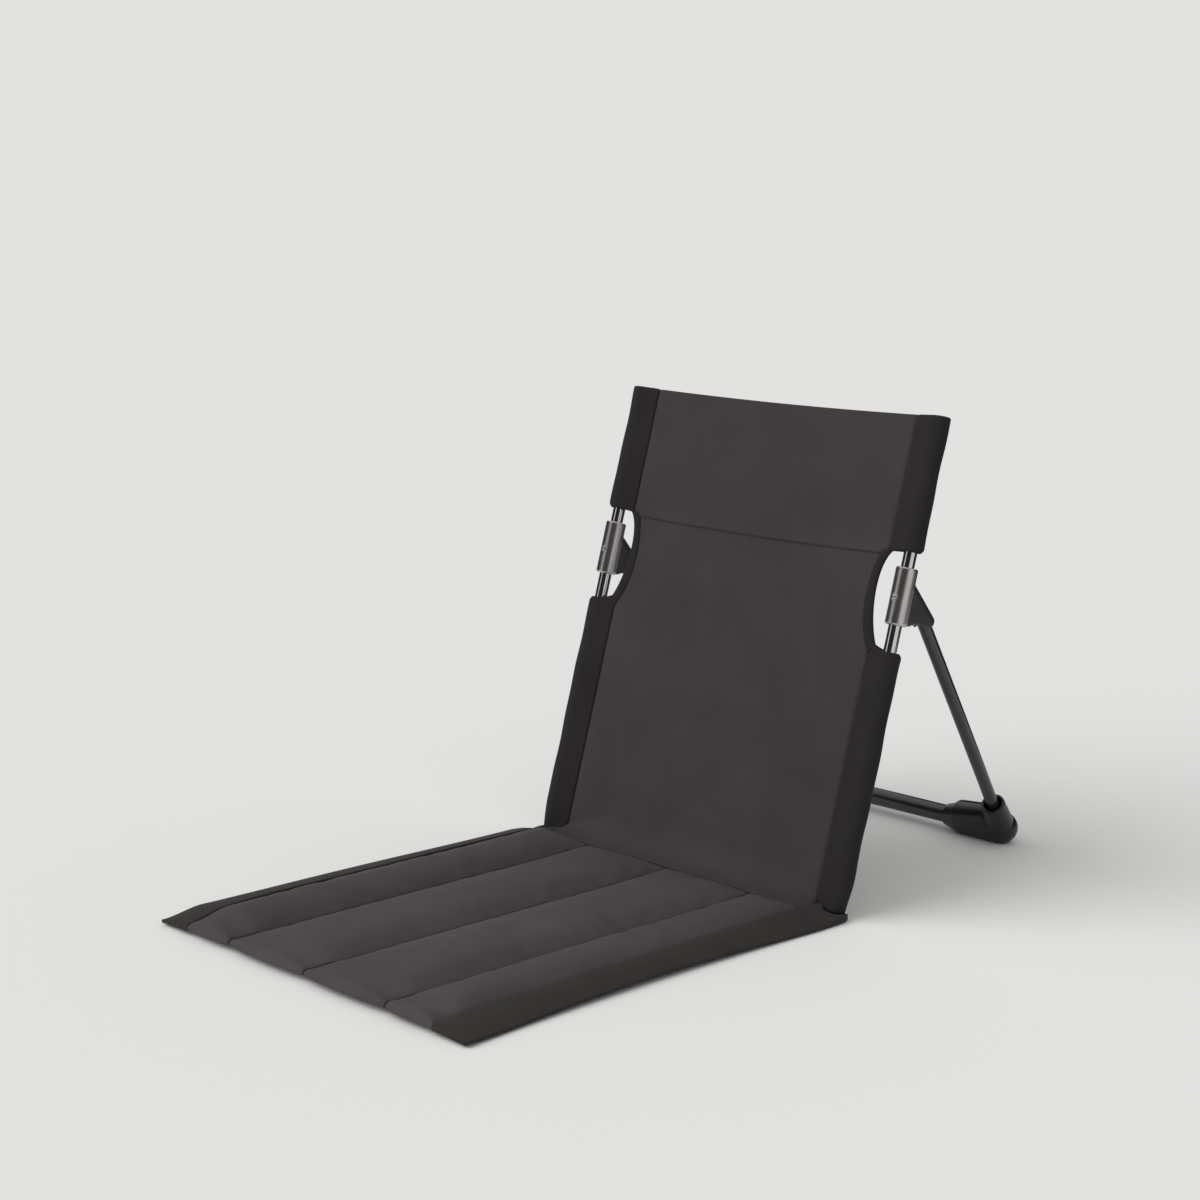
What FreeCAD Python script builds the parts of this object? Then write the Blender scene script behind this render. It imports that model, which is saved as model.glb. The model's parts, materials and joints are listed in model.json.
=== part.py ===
import FreeCAD
import Part
import Sketcher
import math
import os

# A folding ground chair: a fabric back on two leaning poles, a stand that props it from behind,
# and a padded mat hinged to the back at a sewn crease.
# Millimetres. +Z is up, the chair faces -Y, and the origin is on the ground under the middle of it.
# On the back, "rise" is measured along the poles from the ground and "setback" square behind them.

# Driving sizes
SIZES = {
    # how the chair stands
    "lean_angle": 16.5,
    "stand_angle": 38.9,
    "pole_spacing": 400.0,
    "foot_spacing": 290.0,
    # clearances
    "fixed_fit": 0.1,
    "running_fit": 0.08,
    "soft_gap": 0.3,
    # poles and their end caps
    "pole_diameter": 13.0,
    "pole_wall": 1.2,
    "pole_base": 8.0,
    "pole_split": 316.0,
    "pole_top": 482.0,
    "cap_flange": 3.0,
    "cap_spigot": 14.0,
    # brackets, with the hinge housing behind the sleeve
    "bracket_base": 284.0,
    "bracket_length": 56.0,
    "bracket_wall": 4.1,
    "bracket_edge": 1.5,
    "pivot_rise": 299.0,
    "pivot_setback": 33.0,
    "housing_play": 0.35,
    "housing_wall": 2.5,
    "housing_reach": 14.0,
    "housing_edge": 3.0,
    "cheek_inset": 0.1,
    "cheek_base": 4.5,
    "screw_rise": 310.0,
    "screw_diameter": 3.0,
    "screw_length": 9.0,
    "screw_head_diameter": 5.5,
    "screw_head_height": 1.8,
    "screw_seat": 1.0,
    "screw_drive_width": 0.9,
    "screw_drive_depth": 0.8,
    # hinge pins
    "pin_diameter": 5.0,
    "pin_skin": 1.2,
    "pin_head_diameter": 9.0,
    "pin_head_height": 2.0,
    # stand
    "leg_diameter": 13.0,
    "leg_wall": 1.2,
    "leg_seat": 14.0,
    "eye_width": 12.4,
    "eye_play": 0.3,
    "knuckle_neck": 9.0,
    "knuckle_spigot": 18.0,
    "crossbar_diameter": 19.0,
    "crossbar_wall": 1.4,
    "crossbar_end": 24.0,
    "collar_diameter": 34.0,
    "foot_flat": 1.2,
    "collar_length": 52.0,
    "collar_taper": 20.0,
    "collar_lip": 2.0,
    "toe_diameter": 30.0,
    "socket_diameter": 25.0,
    "socket_height": 42.0,
    "socket_mouth": 19.0,
    "socket_mouth_depth": 13.0,
    # back fabric
    "panel_width": 352.0,
    "cloth": 2.0,
    "head_seam_rise": 350.0,
    "head_rise": 486.0,
    "head_sag": 2.0,
    "apron_rise": 42.0,
    "apron_turn": 65.0,
    "sleeve_cloth": 1.4,
    "sleeve_room": 0.6,
    "sleeve_point": 5.0,
    "upper_sleeve_base": 357.0,
    "upper_sleeve_top": 487.0,
    "lower_sleeve_base": 13.5,
    "cutout_base": 258.0,
    "cutout_depth": 9.0,
    "binding_width": 9.0,
    "binding_thickness": 4.0,
    # seat mat
    "seat_reach": 468.0,
    "seat_seam": 114.0,
    "seat_pad_half": 178.0,
    "seat_front_half": 222.0,
    "seat_waist_half": 211.0,
    "seat_rear_half": 216.0,
    "seat_front_roll": 30.0,
    "seat_rear_roll": 30.0,
    "seat_rear_rise": 78.0,
    "seam_height": 12.0,
    "crown_rise": 10.0,
    "front_seam_height": 5.5,
    "front_crown_rise": 3.0,
    "rear_edge": 1.2,
    "border_rise": 14.0,
    "edge_height": 3.0,
    "seat_cloth": 1.5,
    # pockets at the rear corners of the mat, under the poles
    "pocket_front": 36.7,
    "pocket_rear": 14.0,
    "pocket_outer": 15.5,
    "pocket_height": 9.0,
    "pocket_wall": 2.5,
    "pocket_hollow_front": 13.0,
    "pocket_round": 3.0,
}

V = FreeCAD.Vector
X_AXIS = V(1, 0, 0)
Y_AXIS = V(0, 1, 0)
Z_AXIS = V(0, 0, 1)
SIDES = (("left", -1), ("right", 1))

doc = FreeCAD.newDocument("GroundChair")
sheet = doc.addObject("Spreadsheet::Sheet", "Sizes")
for row, (alias, number) in enumerate(SIZES.items(), start=1):
    sheet.set(f"A{row}", alias)
    sheet.set(f"B{row}", str(number))
    sheet.setAlias(f"B{row}", alias)
doc.recompute()


class Size:
    """A size that carries its number and the formula that ties it to the sheet."""

    def __init__(self, number, formula):
        self.number = number
        self.formula = formula

    def __add__(self, other):
        other = as_size(other)
        return Size(self.number + other.number, f"({self.formula} + {other.formula})")

    def __sub__(self, other):
        other = as_size(other)
        return Size(self.number - other.number, f"({self.formula} - {other.formula})")

    def __mul__(self, other):
        other = as_size(other)
        return Size(self.number * other.number, f"({self.formula} * {other.formula})")

    def __truediv__(self, other):
        other = as_size(other)
        return Size(self.number / other.number, f"({self.formula} / {other.formula})")

    def __rsub__(self, other):
        return as_size(other) - self

    def __neg__(self):
        return Size(-self.number, f"(0 - {self.formula})")

    __radd__ = __add__
    __rmul__ = __mul__


def as_size(value):
    return value if isinstance(value, Size) else Size(float(value), f"({float(value)})")


def sine(angle):
    return Size(math.sin(math.radians(angle.number)), f"sin({angle.formula} * 1 deg)")


def cosine(angle):
    return Size(math.cos(math.radians(angle.number)), f"cos({angle.formula} * 1 deg)")


def root(value):
    return Size(math.sqrt(value.number), f"sqrt({value.formula})")


class Sheet:
    """The sheet's sizes by name."""

    def __getattr__(self, alias):
        return Size(float(sheet.get(alias)), f"Sizes.{alias}")


d = Sheet()

# Sizes that follow from the driving ones
pole_radius = d.pole_diameter / 2
leg_radius = d.leg_diameter / 2
collar_radius = d.collar_diameter / 2
sleeve_radius = pole_radius + d.fixed_fit + d.bracket_wall
seam_offset = d.pole_spacing / 2 - d.panel_width / 2

# The hinge of the stand and the crossbar under it, seen from the side
lean_sine = sine(d.lean_angle)
lean_cosine = cosine(d.lean_angle)
pivot_back = d.pivot_rise * lean_sine + d.pivot_setback * lean_cosine
pivot_height = d.pivot_rise * lean_cosine - d.pivot_setback * lean_sine
crossbar_height = collar_radius - d.foot_flat
leg_drop = (pivot_height - crossbar_height) / cosine(d.stand_angle)
crossbar_back = pivot_back + leg_drop * sine(d.stand_angle)
foot_inset = d.pole_spacing / 2 - d.foot_spacing / 2
leg_side_shift = foot_inset * d.housing_reach / (leg_drop * 2 - d.housing_reach)
leg_inset = foot_inset + leg_side_shift
leg_reach = root(leg_drop * leg_drop + leg_inset * leg_inset)
leg_slant = math.degrees(math.atan2(leg_inset.number, leg_drop.number))

# The housing leaves room for the slanting leg, which crosses its axis halfway to its mouth
housing_bore = leg_radius + leg_side_shift + d.housing_play
housing_radius = housing_bore + d.housing_wall
cheek_half = housing_radius - d.cheek_inset
pin_end = housing_radius - d.pin_skin

# The leg's direction on the side view of the back: along it, and square to it on the upper side
spread_angle = d.lean_angle + d.stand_angle
along_setback = sine(spread_angle)
along_rise = -cosine(spread_angle)
above_setback = cosine(spread_angle)
above_rise = sine(spread_angle)

# The end of the apron, where the back meets the mat: its front edge is the crease
apron_cosine = cosine(d.apron_turn)
apron_sine = sine(d.apron_turn)
crease_setback = (d.apron_rise - d.cloth) * apron_cosine - d.apron_rise
crease_rise = d.apron_rise - (d.apron_rise - d.cloth) * apron_sine
crease_y = crease_setback * lean_cosine + crease_rise * lean_sine
crease_z = crease_rise * lean_cosine - crease_setback * lean_sine

# The origin lies midway between the mat's front edge and the back of the feet
fold_y = (d.seat_reach.number - crossbar_back.number - collar_radius.number) / 2

pieces = []


# Frames that the pieces are drawn in
def back_frame(x=0.0):
    return FreeCAD.Placement(V(x, fold_y, 0), FreeCAD.Rotation(X_AXIS, -d.lean_angle.number))


def stand_frame(x=0.0):
    base = V(x, fold_y + pivot_back.number, pivot_height.number)
    return FreeCAD.Placement(base, FreeCAD.Rotation(X_AXIS, d.stand_angle.number))


def leg_frame(side):
    x = side * (d.pole_spacing.number / 2 + leg_side_shift.number)
    slant = FreeCAD.Placement(V(), FreeCAD.Rotation(Y_AXIS, side * leg_slant))
    return stand_frame(x).multiply(slant)


def ground_frame(x=0.0, y=0.0, z=0.0):
    return FreeCAD.Placement(V(x, fold_y + y, z), FreeCAD.Rotation())


def bind(thing, path, size):
    thing.setExpression(path, as_size(size).formula)


def keep(thing, label, placement):
    """Names a finished piece and puts it in its place."""
    thing.Label = label
    thing.Placement = placement
    pieces.append(thing)
    return thing


# Sketch helpers
def new_body(label, placement):
    return keep(doc.addObject("PartDesign::Body", label + "_body"), label, placement)


def new_sketch(body, role, lift=None):
    sketch = body.newObject("Sketcher::SketchObject", f"{body.Name}_sketch")
    plane = next(item for item in body.Origin.OriginFeatures if item.Role == role)
    sketch.AttachmentSupport = [(plane, "")]
    sketch.MapMode = "FlatFace"
    if lift is not None:
        bind(sketch, "AttachmentOffset.Base.z", lift)
    return sketch


def fix_point(sketch, curve, end, x, y):
    """Ties one point of a curve to its distances from the sketch's origin."""
    for kind, size, axis in (("DistanceX", as_size(x), -2), ("DistanceY", as_size(y), -1)):
        if abs(size.number) < 1e-9:
            sketch.addConstraint(Sketcher.Constraint("PointOnObject", curve, end, axis))
            continue
        index = sketch.addConstraint(Sketcher.Constraint(kind, -1, 1, curve, end, size.number))
        bind(sketch, f"Constraints[{index}]", size)


def fix_radius(sketch, curve, radius):
    index = sketch.addConstraint(Sketcher.Constraint("Radius", curve, as_size(radius).number))
    bind(sketch, f"Constraints[{index}]", radius)


def draw_circle(sketch, radius, x=0, y=0):
    centre = V(as_size(x).number, as_size(y).number, 0)
    curve = sketch.addGeometry(Part.Circle(centre, Z_AXIS, as_size(radius).number))
    fix_radius(sketch, curve, radius)
    fix_point(sketch, curve, 3, x, y)


def draw_outline(sketch, corners, flip=1):
    """Draws a closed outline. A corner is (x, y), reached by a line, or (x, y, radius, turn), reached
    by an arc that turns left (1) or right (-1), by more than half a circle if turn is 2 or -2."""
    places = [(as_size(corner[0]) * flip, as_size(corner[1])) for corner in corners]
    ends = []
    for number, corner in enumerate(corners):
        start = V(places[number - 1][0].number, places[number - 1][1].number, 0)
        stop = V(places[number][0].number, places[number][1].number, 0)
        if len(corner) == 2:
            ends.append((sketch.addGeometry(Part.LineSegment(start, stop)), 1, 2))
            continue
        radius = as_size(corner[2])
        turn = corner[3] * flip
        half = (stop - start) / 2
        left = V(-half.y, half.x, 0).normalize()
        reach = math.sqrt(max(radius.number ** 2 - half.Length ** 2, 0))
        toward = math.copysign(reach, turn) * (1 if abs(turn) == 1 else -1)
        centre = start + half + left * toward
        first, last = (start, stop) if turn > 0 else (stop, start)
        angles = [math.atan2(end.y - centre.y, end.x - centre.x) for end in (first, last)]
        circle = Part.Circle(centre, Z_AXIS, radius.number)
        curve = sketch.addGeometry(Part.ArcOfCircle(circle, angles[0], angles[1]))
        ends.append((curve, 1, 2) if turn > 0 else (curve, 2, 1))
    for number, (curve, start, stop) in enumerate(ends):
        before, _, before_stop = ends[number - 1]
        sketch.addConstraint(Sketcher.Constraint("Coincident", before, before_stop, curve, start))
        fix_point(sketch, curve, start, *places[number - 1])
        if len(corners[number]) == 4:
            fix_radius(sketch, curve, corners[number][2])


# Feature helpers
def pad(body, sketch, length, reverse=False):
    feature = body.newObject("PartDesign::Pad", f"{body.Name}_pad")
    feature.Profile = sketch
    feature.Reversed = reverse
    bind(feature, "Length", length)
    return feature


def pocket(body, sketch, length, reverse=False):
    feature = body.newObject("PartDesign::Pocket", f"{body.Name}_pocket")
    feature.Profile = sketch
    feature.Reversed = reverse
    bind(feature, "Length", length)
    return feature


def revolve(body, sketch, axis):
    feature = body.newObject("PartDesign::Revolution", f"{body.Name}_turn")
    feature.Profile = sketch
    feature.ReferenceAxis = (sketch, [axis])
    feature.Angle = 360
    return feature


def round_edges(body, base, radius, wanted):
    """Rounds the edges of a feature whose middle point passes a test."""
    doc.recompute()
    names = []
    for number, edge in enumerate(base.Shape.Edges, start=1):
        middle = edge.valueAt((edge.FirstParameter + edge.LastParameter) / 2)
        if wanted(edge, middle):
            names.append(f"Edge{number}")
    if not names:
        raise RuntimeError(f"no edge to round on {body.Label}")
    feature = body.newObject("PartDesign::Fillet", f"{body.Name}_round")
    feature.Base = (base, names)
    bind(feature, "Radius", radius)
    return feature


def is_circle(edge):
    return edge.Closed and edge.Curve.TypeId == "Part::GeomCircle"


# Poles
def make_pole(label, side, base, top, drilled):
    body = new_body(label, back_frame(side * d.pole_spacing.number / 2))
    ring = new_sketch(body, "XY_Plane", base)
    draw_circle(ring, pole_radius)
    draw_circle(ring, pole_radius - d.pole_wall)
    pad(body, ring, top - base)
    if drilled:
        hole = new_sketch(body, "XZ_Plane")
        draw_circle(hole, d.screw_diameter / 2 + d.fixed_fit, 0, d.screw_rise)
        pocket(body, hole, d.pole_diameter, reverse=True)


# End caps: a rounded flange the size of the pole, and a spigot inside it
def make_cap(label, side, seat, upward):
    body = new_body(label, back_frame(side * d.pole_spacing.number / 2))
    spigot_radius = pole_radius - d.pole_wall - d.fixed_fit
    edge = d.cap_flange * 0.6
    out = 1 if upward else -1
    profile = new_sketch(body, "XZ_Plane")
    draw_outline(profile, [
        (as_size(0), seat - out * d.cap_spigot),
        (spigot_radius, seat - out * d.cap_spigot),
        (spigot_radius, seat),
        (pole_radius, seat),
        (pole_radius, seat + out * (d.cap_flange - edge)),
        (pole_radius - edge, seat + out * d.cap_flange, edge, out),
        (as_size(0), seat + out * d.cap_flange),
    ])
    revolve(body, profile, "V_Axis")


# Brackets: a sleeve on the pole, a round housing along the leg, and two cheeks below it
def beside_leg(along, above):
    """A point of the side view, measured from the hinge along the leg and square to it."""
    setback = d.pivot_setback + along * along_setback + above * above_setback
    rise = d.pivot_rise + along * along_rise + above * above_rise
    return setback, rise


def leg_sketch(body, along):
    """A sketch square to the leg's side view, at a distance along the leg from the hinge."""
    sketch = new_sketch(body, "XY_Plane")
    sketch.AttachmentOffset = FreeCAD.Placement(V(), FreeCAD.Rotation(X_AXIS, spread_angle.number))
    setback, rise = beside_leg(along, as_size(0))
    bind(sketch, "AttachmentOffset.Base.y", setback)
    bind(sketch, "AttachmentOffset.Base.z", rise)
    return sketch


def make_bracket(label, side):
    body = new_body(label, back_frame(side * d.pole_spacing.number / 2))
    sleeve = new_sketch(body, "XY_Plane", d.bracket_base)
    draw_circle(sleeve, sleeve_radius)
    barrel = pad(body, sleeve, d.bracket_length)
    barrel = round_edges(body, barrel, d.bracket_edge, lambda edge, middle: is_circle(edge))
    housing_start = d.pivot_setback / along_setback
    boss = leg_sketch(body, d.housing_reach)
    draw_circle(boss, housing_radius)
    housing = pad(body, boss, d.housing_reach + housing_start)
    round_edges(body, housing, d.housing_edge, lambda edge, middle: is_circle(edge)
                and middle.y > sleeve_radius.number
                and abs(edge.Curve.Radius - housing_radius.number) < 0.01)
    cheek_rise = d.bracket_base + d.cheek_base
    tip_setback, tip_rise = beside_leg(d.housing_reach - d.housing_edge, as_size(0))
    cheeks = new_sketch(body, "YZ_Plane", -cheek_half)
    draw_outline(cheeks, [
        (as_size(0), d.pivot_rise + d.pivot_setback * above_setback / above_rise),
        (as_size(0), d.bracket_base + d.bracket_edge),
        (sleeve_radius - d.bracket_edge, d.bracket_base + d.bracket_edge),
        (sleeve_radius + 2 * d.cheek_base, cheek_rise, 3 * d.cheek_base, -1),
        (tip_setback, cheek_rise),
        (tip_setback, tip_rise),
    ])
    pad(body, cheeks, cheek_half * 2)
    bore = new_sketch(body, "XY_Plane", d.bracket_base - d.bracket_edge)
    draw_circle(bore, pole_radius + d.fixed_fit)
    pocket(body, bore, d.bracket_length + d.bracket_edge * 2, reverse=True)
    cut_housing(body, side)
    cut_screw_hole(body)


def cut_housing(body, side):
    """Opens the housing for the leg, for its swing down to the pole, and for the pin."""
    eye_room = leg_radius + d.eye_play
    leg_room = leg_sketch(body, d.housing_reach * 2)
    draw_circle(leg_room, housing_bore)
    pocket(body, leg_room, d.housing_reach * 2 + d.bracket_edge, reverse=True)
    eye_half = d.eye_width / 2 + d.eye_play
    eye = new_sketch(body, "YZ_Plane", -eye_half)
    draw_circle(eye, eye_room, d.pivot_setback, d.pivot_rise)
    pocket(body, eye, eye_half * 2, reverse=True)
    far_setback, far_rise = beside_leg(d.housing_reach * 2, as_size(0))
    below = d.bracket_base - d.housing_reach
    swing = new_sketch(body, "YZ_Plane", -housing_bore)
    draw_outline(swing, [
        (d.pivot_setback, d.pivot_rise),
        (d.pivot_setback - eye_room, d.pivot_rise),
        (d.pivot_setback - eye_room, below),
        (far_setback, below),
        (far_setback, far_rise),
    ])
    pocket(body, swing, housing_bore * 2, reverse=True)
    mouth = housing_radius + d.pin_head_height
    pin_hole = new_sketch(body, "YZ_Plane", -side * mouth)
    draw_circle(pin_hole, d.pin_diameter / 2 + d.fixed_fit, d.pivot_setback, d.pivot_rise)
    pocket(body, pin_hole, mouth + pin_end, reverse=side > 0)


def cut_screw_hole(body):
    hole = new_sketch(body, "XZ_Plane")
    draw_circle(hole, d.screw_diameter / 2 + d.fixed_fit, 0, d.screw_rise)
    pocket(body, hole, d.pole_diameter, reverse=True)
    seat = new_sketch(body, "XZ_Plane", sleeve_radius - d.screw_seat)
    draw_circle(seat, d.screw_head_diameter / 2 + d.fixed_fit, 0, d.screw_rise)
    pocket(body, seat, d.screw_seat * 2, reverse=True)


# Screws: a domed head with a straight drive slot, and a plain shank into the pole
def make_screw(label, side):
    body = new_body(label, back_frame(side * d.pole_spacing.number / 2))
    seat = -(sleeve_radius - d.screw_seat)
    head_radius = d.screw_head_diameter / 2
    top = seat - d.screw_head_height
    dome = d.screw_head_height * 0.6
    profile = new_sketch(body, "YZ_Plane")
    bind(profile, "AttachmentOffset.Base.y", d.screw_rise)
    draw_outline(profile, [
        (seat + d.screw_length, as_size(0)),
        (seat + d.screw_length, d.screw_diameter / 2),
        (seat, d.screw_diameter / 2),
        (seat, head_radius),
        (top + dome, head_radius),
        (top, head_radius - dome, dome, 1),
        (top, as_size(0)),
    ])
    revolve(body, profile, "H_Axis")
    half = d.screw_drive_width / 2
    slot = new_sketch(body, "XZ_Plane", -top - d.screw_drive_depth)
    draw_outline(slot, [
        (head_radius, d.screw_rise - half),
        (head_radius, d.screw_rise + half),
        (-head_radius, d.screw_rise + half),
        (-head_radius, d.screw_rise - half),
    ])
    pocket(body, slot, d.screw_drive_depth * 2, reverse=True)


# Hinge pins: entered from the inner side, blind under the outer skin
def make_pin(label, side):
    body = new_body(label, back_frame(side * d.pole_spacing.number / 2))
    shank = d.pin_diameter / 2
    head = d.pin_head_diameter / 2
    dome = d.pin_head_height * 0.6
    start = -housing_radius
    top = start - d.pin_head_height
    profile = new_sketch(body, "XY_Plane", d.pivot_rise)
    bind(profile, "AttachmentOffset.Base.y", d.pivot_setback)
    draw_outline(profile, [
        (pin_end, as_size(0)),
        (pin_end, shank),
        (start, shank),
        (start, head),
        (top + dome, head),
        (top, head - dome, dome, 1),
        (top, as_size(0)),
    ], flip=side)
    revolve(body, profile, "H_Axis")


# Stand: knuckles, legs, feet and the crossbar
def make_knuckle(label, side):
    body = new_body(label, stand_frame(side * d.pole_spacing.number / 2))
    slant = FreeCAD.Rotation(Y_AXIS, side * leg_slant)

    def along_leg(distance, radius, length):
        """A round stretch of the knuckle on the slanting leg's axis."""
        round_part = new_sketch(body, "XY_Plane")
        base = V(side * leg_side_shift.number, 0, 0) - slant.multVec(Z_AXIS) * distance.number
        round_part.AttachmentOffset = FreeCAD.Placement(base, slant)
        draw_circle(round_part, radius)
        pad(body, round_part, length)

    along_leg(d.knuckle_neck, leg_radius - d.fixed_fit, d.knuckle_neck)
    along_leg(d.knuckle_neck + d.knuckle_spigot, leg_radius - d.leg_wall - d.fixed_fit, d.knuckle_spigot)
    eye = new_sketch(body, "YZ_Plane", -d.eye_width / 2)
    draw_circle(eye, leg_radius)
    pad(body, eye, d.eye_width)
    hole = new_sketch(body, "YZ_Plane", -d.eye_width)
    draw_circle(hole, d.pin_diameter / 2 + d.running_fit)
    pocket(body, hole, d.eye_width * 2, reverse=True)


def make_leg(label, side):
    body = new_body(label, leg_frame(side))
    foot_end = leg_reach - d.leg_seat
    ring = new_sketch(body, "XY_Plane", -foot_end)
    draw_circle(ring, leg_radius)
    draw_circle(ring, leg_radius - d.leg_wall)
    pad(body, ring, foot_end - d.knuckle_neck)


def primitive(kind, label, placement, **sizes):
    thing = doc.addObject("Part::" + kind, label)
    for name, size in sizes.items():
        bind(thing, name, size)
    thing.Placement = placement
    return thing


def join(label, things):
    joined = doc.addObject("Part::MultiFuse", label)
    joined.Shapes = things
    joined.Refine = True
    return joined


def make_foot(label, side):
    """A collar on the crossbar that tapers inwards, a round toe, and a socket that takes the leg."""
    centre = ground_frame(side * d.foot_spacing.number / 2, crossbar_back.number, crossbar_height.number)
    inward = FreeCAD.Rotation(Z_AXIS, V(-side, 0, 0))
    upleg = leg_frame(side).Rotation

    def on_bar(distance):
        return centre.multiply(FreeCAD.Placement(V(-side * distance.number, 0, 0), inward))

    def on_leg(distance):
        return centre.multiply(FreeCAD.Placement(upleg.multVec(Z_AXIS) * distance.number, upleg))

    nothing = as_size(0)
    nose_radius = d.crossbar_diameter / 2 + d.collar_lip
    block = join(label + "_block", [
        primitive("Cylinder", label + "_collar", on_bar(nothing),
                  Radius=collar_radius, Height=d.collar_length),
        primitive("Cone", label + "_taper", on_bar(d.collar_length),
                  Radius1=collar_radius, Radius2=nose_radius, Height=d.collar_taper),
        primitive("Sphere", label + "_toe", centre, Radius=collar_radius),
        primitive("Cone", label + "_socket", on_leg(nothing),
                  Radius1=d.toe_diameter / 2, Radius2=d.socket_diameter / 2, Height=d.socket_height),
    ])
    reach = d.collar_length + d.collar_taper
    below = V(-reach.number, -d.collar_diameter.number, -collar_radius.number - crossbar_height.number)
    rooms = join(label + "_rooms", [
        primitive("Cylinder", label + "_bar_room", on_bar(d.crossbar_end),
                  Radius=d.crossbar_diameter / 2 + d.fixed_fit, Height=reach),
        primitive("Cylinder", label + "_leg_room", on_leg(d.leg_seat),
                  Radius=leg_radius + d.fixed_fit, Height=d.socket_height),
        primitive("Cone", label + "_mouth", on_leg(d.socket_height - d.socket_mouth_depth),
                  Radius1=leg_radius, Radius2=d.socket_mouth / 2, Height=d.socket_mouth_depth),
        primitive("Box", label + "_ground", centre.multiply(FreeCAD.Placement(below, FreeCAD.Rotation())),
                  Length=reach * 2, Width=d.collar_diameter * 2, Height=collar_radius),
    ])
    foot = doc.addObject("Part::Cut", label + "_moulding")
    foot.Base = block
    foot.Tool = rooms
    keep(foot, label, FreeCAD.Placement())


def make_crossbar(label):
    body = new_body(label, ground_frame(0, crossbar_back.number, crossbar_height.number))
    half = d.foot_spacing / 2 - d.crossbar_end
    ring = new_sketch(body, "YZ_Plane", -half)
    draw_circle(ring, d.crossbar_diameter / 2)
    draw_circle(ring, d.crossbar_diameter / 2 - d.crossbar_wall)
    pad(body, ring, half * 2)


# Back fabric
panel_half = d.panel_width / 2
cutout_half = (d.head_seam_rise - d.cutout_base) / 2
cutout_radius = (cutout_half * cutout_half + d.cutout_depth * d.cutout_depth) / (2 * d.cutout_depth)


def make_back_panel(label):
    """The lower panel: flat between the poles, with an apron that curves forward to the crease and a
    hollow in each side for the bracket."""
    body = new_body(label, back_frame())
    profile = new_sketch(body, "YZ_Plane", -panel_half)
    draw_outline(profile, [
        (-d.cloth, d.head_seam_rise),
        (-d.cloth, d.apron_rise),
        (crease_setback, crease_rise, d.apron_rise - d.cloth, -1),
        (d.apron_rise * apron_cosine - d.apron_rise, d.apron_rise - d.apron_rise * apron_sine),
        (as_size(0), d.apron_rise, d.apron_rise, 1),
        (as_size(0), d.head_seam_rise),
    ])
    pad(body, profile, d.panel_width)
    edge = panel_half - d.binding_width
    for _, side in SIDES:
        hollow = new_sketch(body, "XZ_Plane", -d.cloth)
        draw_outline(hollow, [
            (edge, d.cutout_base, cutout_radius, 1),
            (panel_half + d.cloth, d.cutout_base),
            (panel_half + d.cloth, d.head_seam_rise),
            (edge, d.head_seam_rise),
        ], flip=side)
        pocket(body, hollow, d.cloth * 3, reverse=True)


def make_head_panel(label):
    """The upper panel, from the cross seam to a top edge that dips a little in the middle."""
    body = new_body(label, back_frame())
    dip_radius = (panel_half * panel_half + d.head_sag * d.head_sag) / (2 * d.head_sag)
    outline = new_sketch(body, "XZ_Plane")
    draw_outline(outline, [
        (-panel_half, d.head_seam_rise),
        (panel_half, d.head_seam_rise),
        (panel_half, d.head_rise),
        (-panel_half, d.head_rise, dip_radius, -1),
    ])
    pad(body, outline, d.cloth)


def make_binding(label, side):
    """The band sewn round the hollow in the panel's side."""
    body = new_body(label, back_frame())
    edge = panel_half - d.binding_width
    band = new_sketch(body, "XZ_Plane", (d.cloth - d.binding_thickness) / 2)
    draw_outline(band, [
        (panel_half, d.cutout_base),
        (panel_half, d.head_seam_rise, cutout_radius, -1),
        (edge, d.head_seam_rise),
        (edge, d.cutout_base, cutout_radius, 1),
    ], flip=side)
    pad(body, band, d.binding_thickness)


def sleeve_outline(radius, tail):
    """A drop round the pole, drawn in to the seam beside it."""
    share = radius / tail[0]
    tangent_x = -radius * share
    tangent_y = radius * root(1 - share * share)
    return [(-tail[0], end) for end in tail[1:]] + [
        (tangent_x, -tangent_y),
        (tangent_x, tangent_y, radius, 2),
    ]


def make_sleeve(label, side, base, top, closed):
    body = new_body(label, back_frame(side * d.pole_spacing.number / 2))
    inner_radius = pole_radius + d.sleeve_room
    middle = -d.cloth / 2
    outer = sleeve_outline(inner_radius + d.sleeve_cloth, (seam_offset, as_size(0), -d.cloth))
    inner = sleeve_outline(inner_radius, (seam_offset - d.sleeve_point, middle))
    wall = new_sketch(body, "XY_Plane", base)
    draw_outline(wall, outer, flip=side)
    pad(body, wall, top - base)
    room = new_sketch(body, "XY_Plane", base)
    draw_outline(room, inner, flip=side)
    pocket(body, room, top - base - (d.cloth if closed else as_size(0)), reverse=True)


# Seat mat. Its rounded pieces are lofts through sections square to the Y axis, cut flat on the ground.
TRIM = 1.0
FRONT_SHARES = (0.0, 0.12, 0.3, 0.6, 1.0)
REAR_SHARES = (0.0, 0.5, 1.0)
BORDER_SHARES = (0.2, 0.4, 0.6, 0.8, 1.0)


def arc_top(start, stop, rise, y):
    """An arc from one seam to the next that stands a little above both."""
    middle = V((start.x + stop.x) / 2, y, (start.z + stop.z) / 2 + rise)
    return Part.Arc(start, middle, stop).toShape()


def channel_section(y, floor, seams, height, rise):
    """A closed section with a level underside and an arched top between each pair of seams."""
    tops = [V(x, y, height) for x in seams]
    low_left = V(seams[0], y, floor)
    low_right = V(seams[-1], y, floor)
    edges = [Part.makeLine(low_left, low_right), Part.makeLine(low_right, tops[-1])]
    for right, left in zip(reversed(tops[1:]), reversed(tops[:-1])):
        edges.append(arc_top(right, left, rise, y))
    edges.append(Part.makeLine(tops[0], low_left))
    return Part.Wire(edges)


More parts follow.
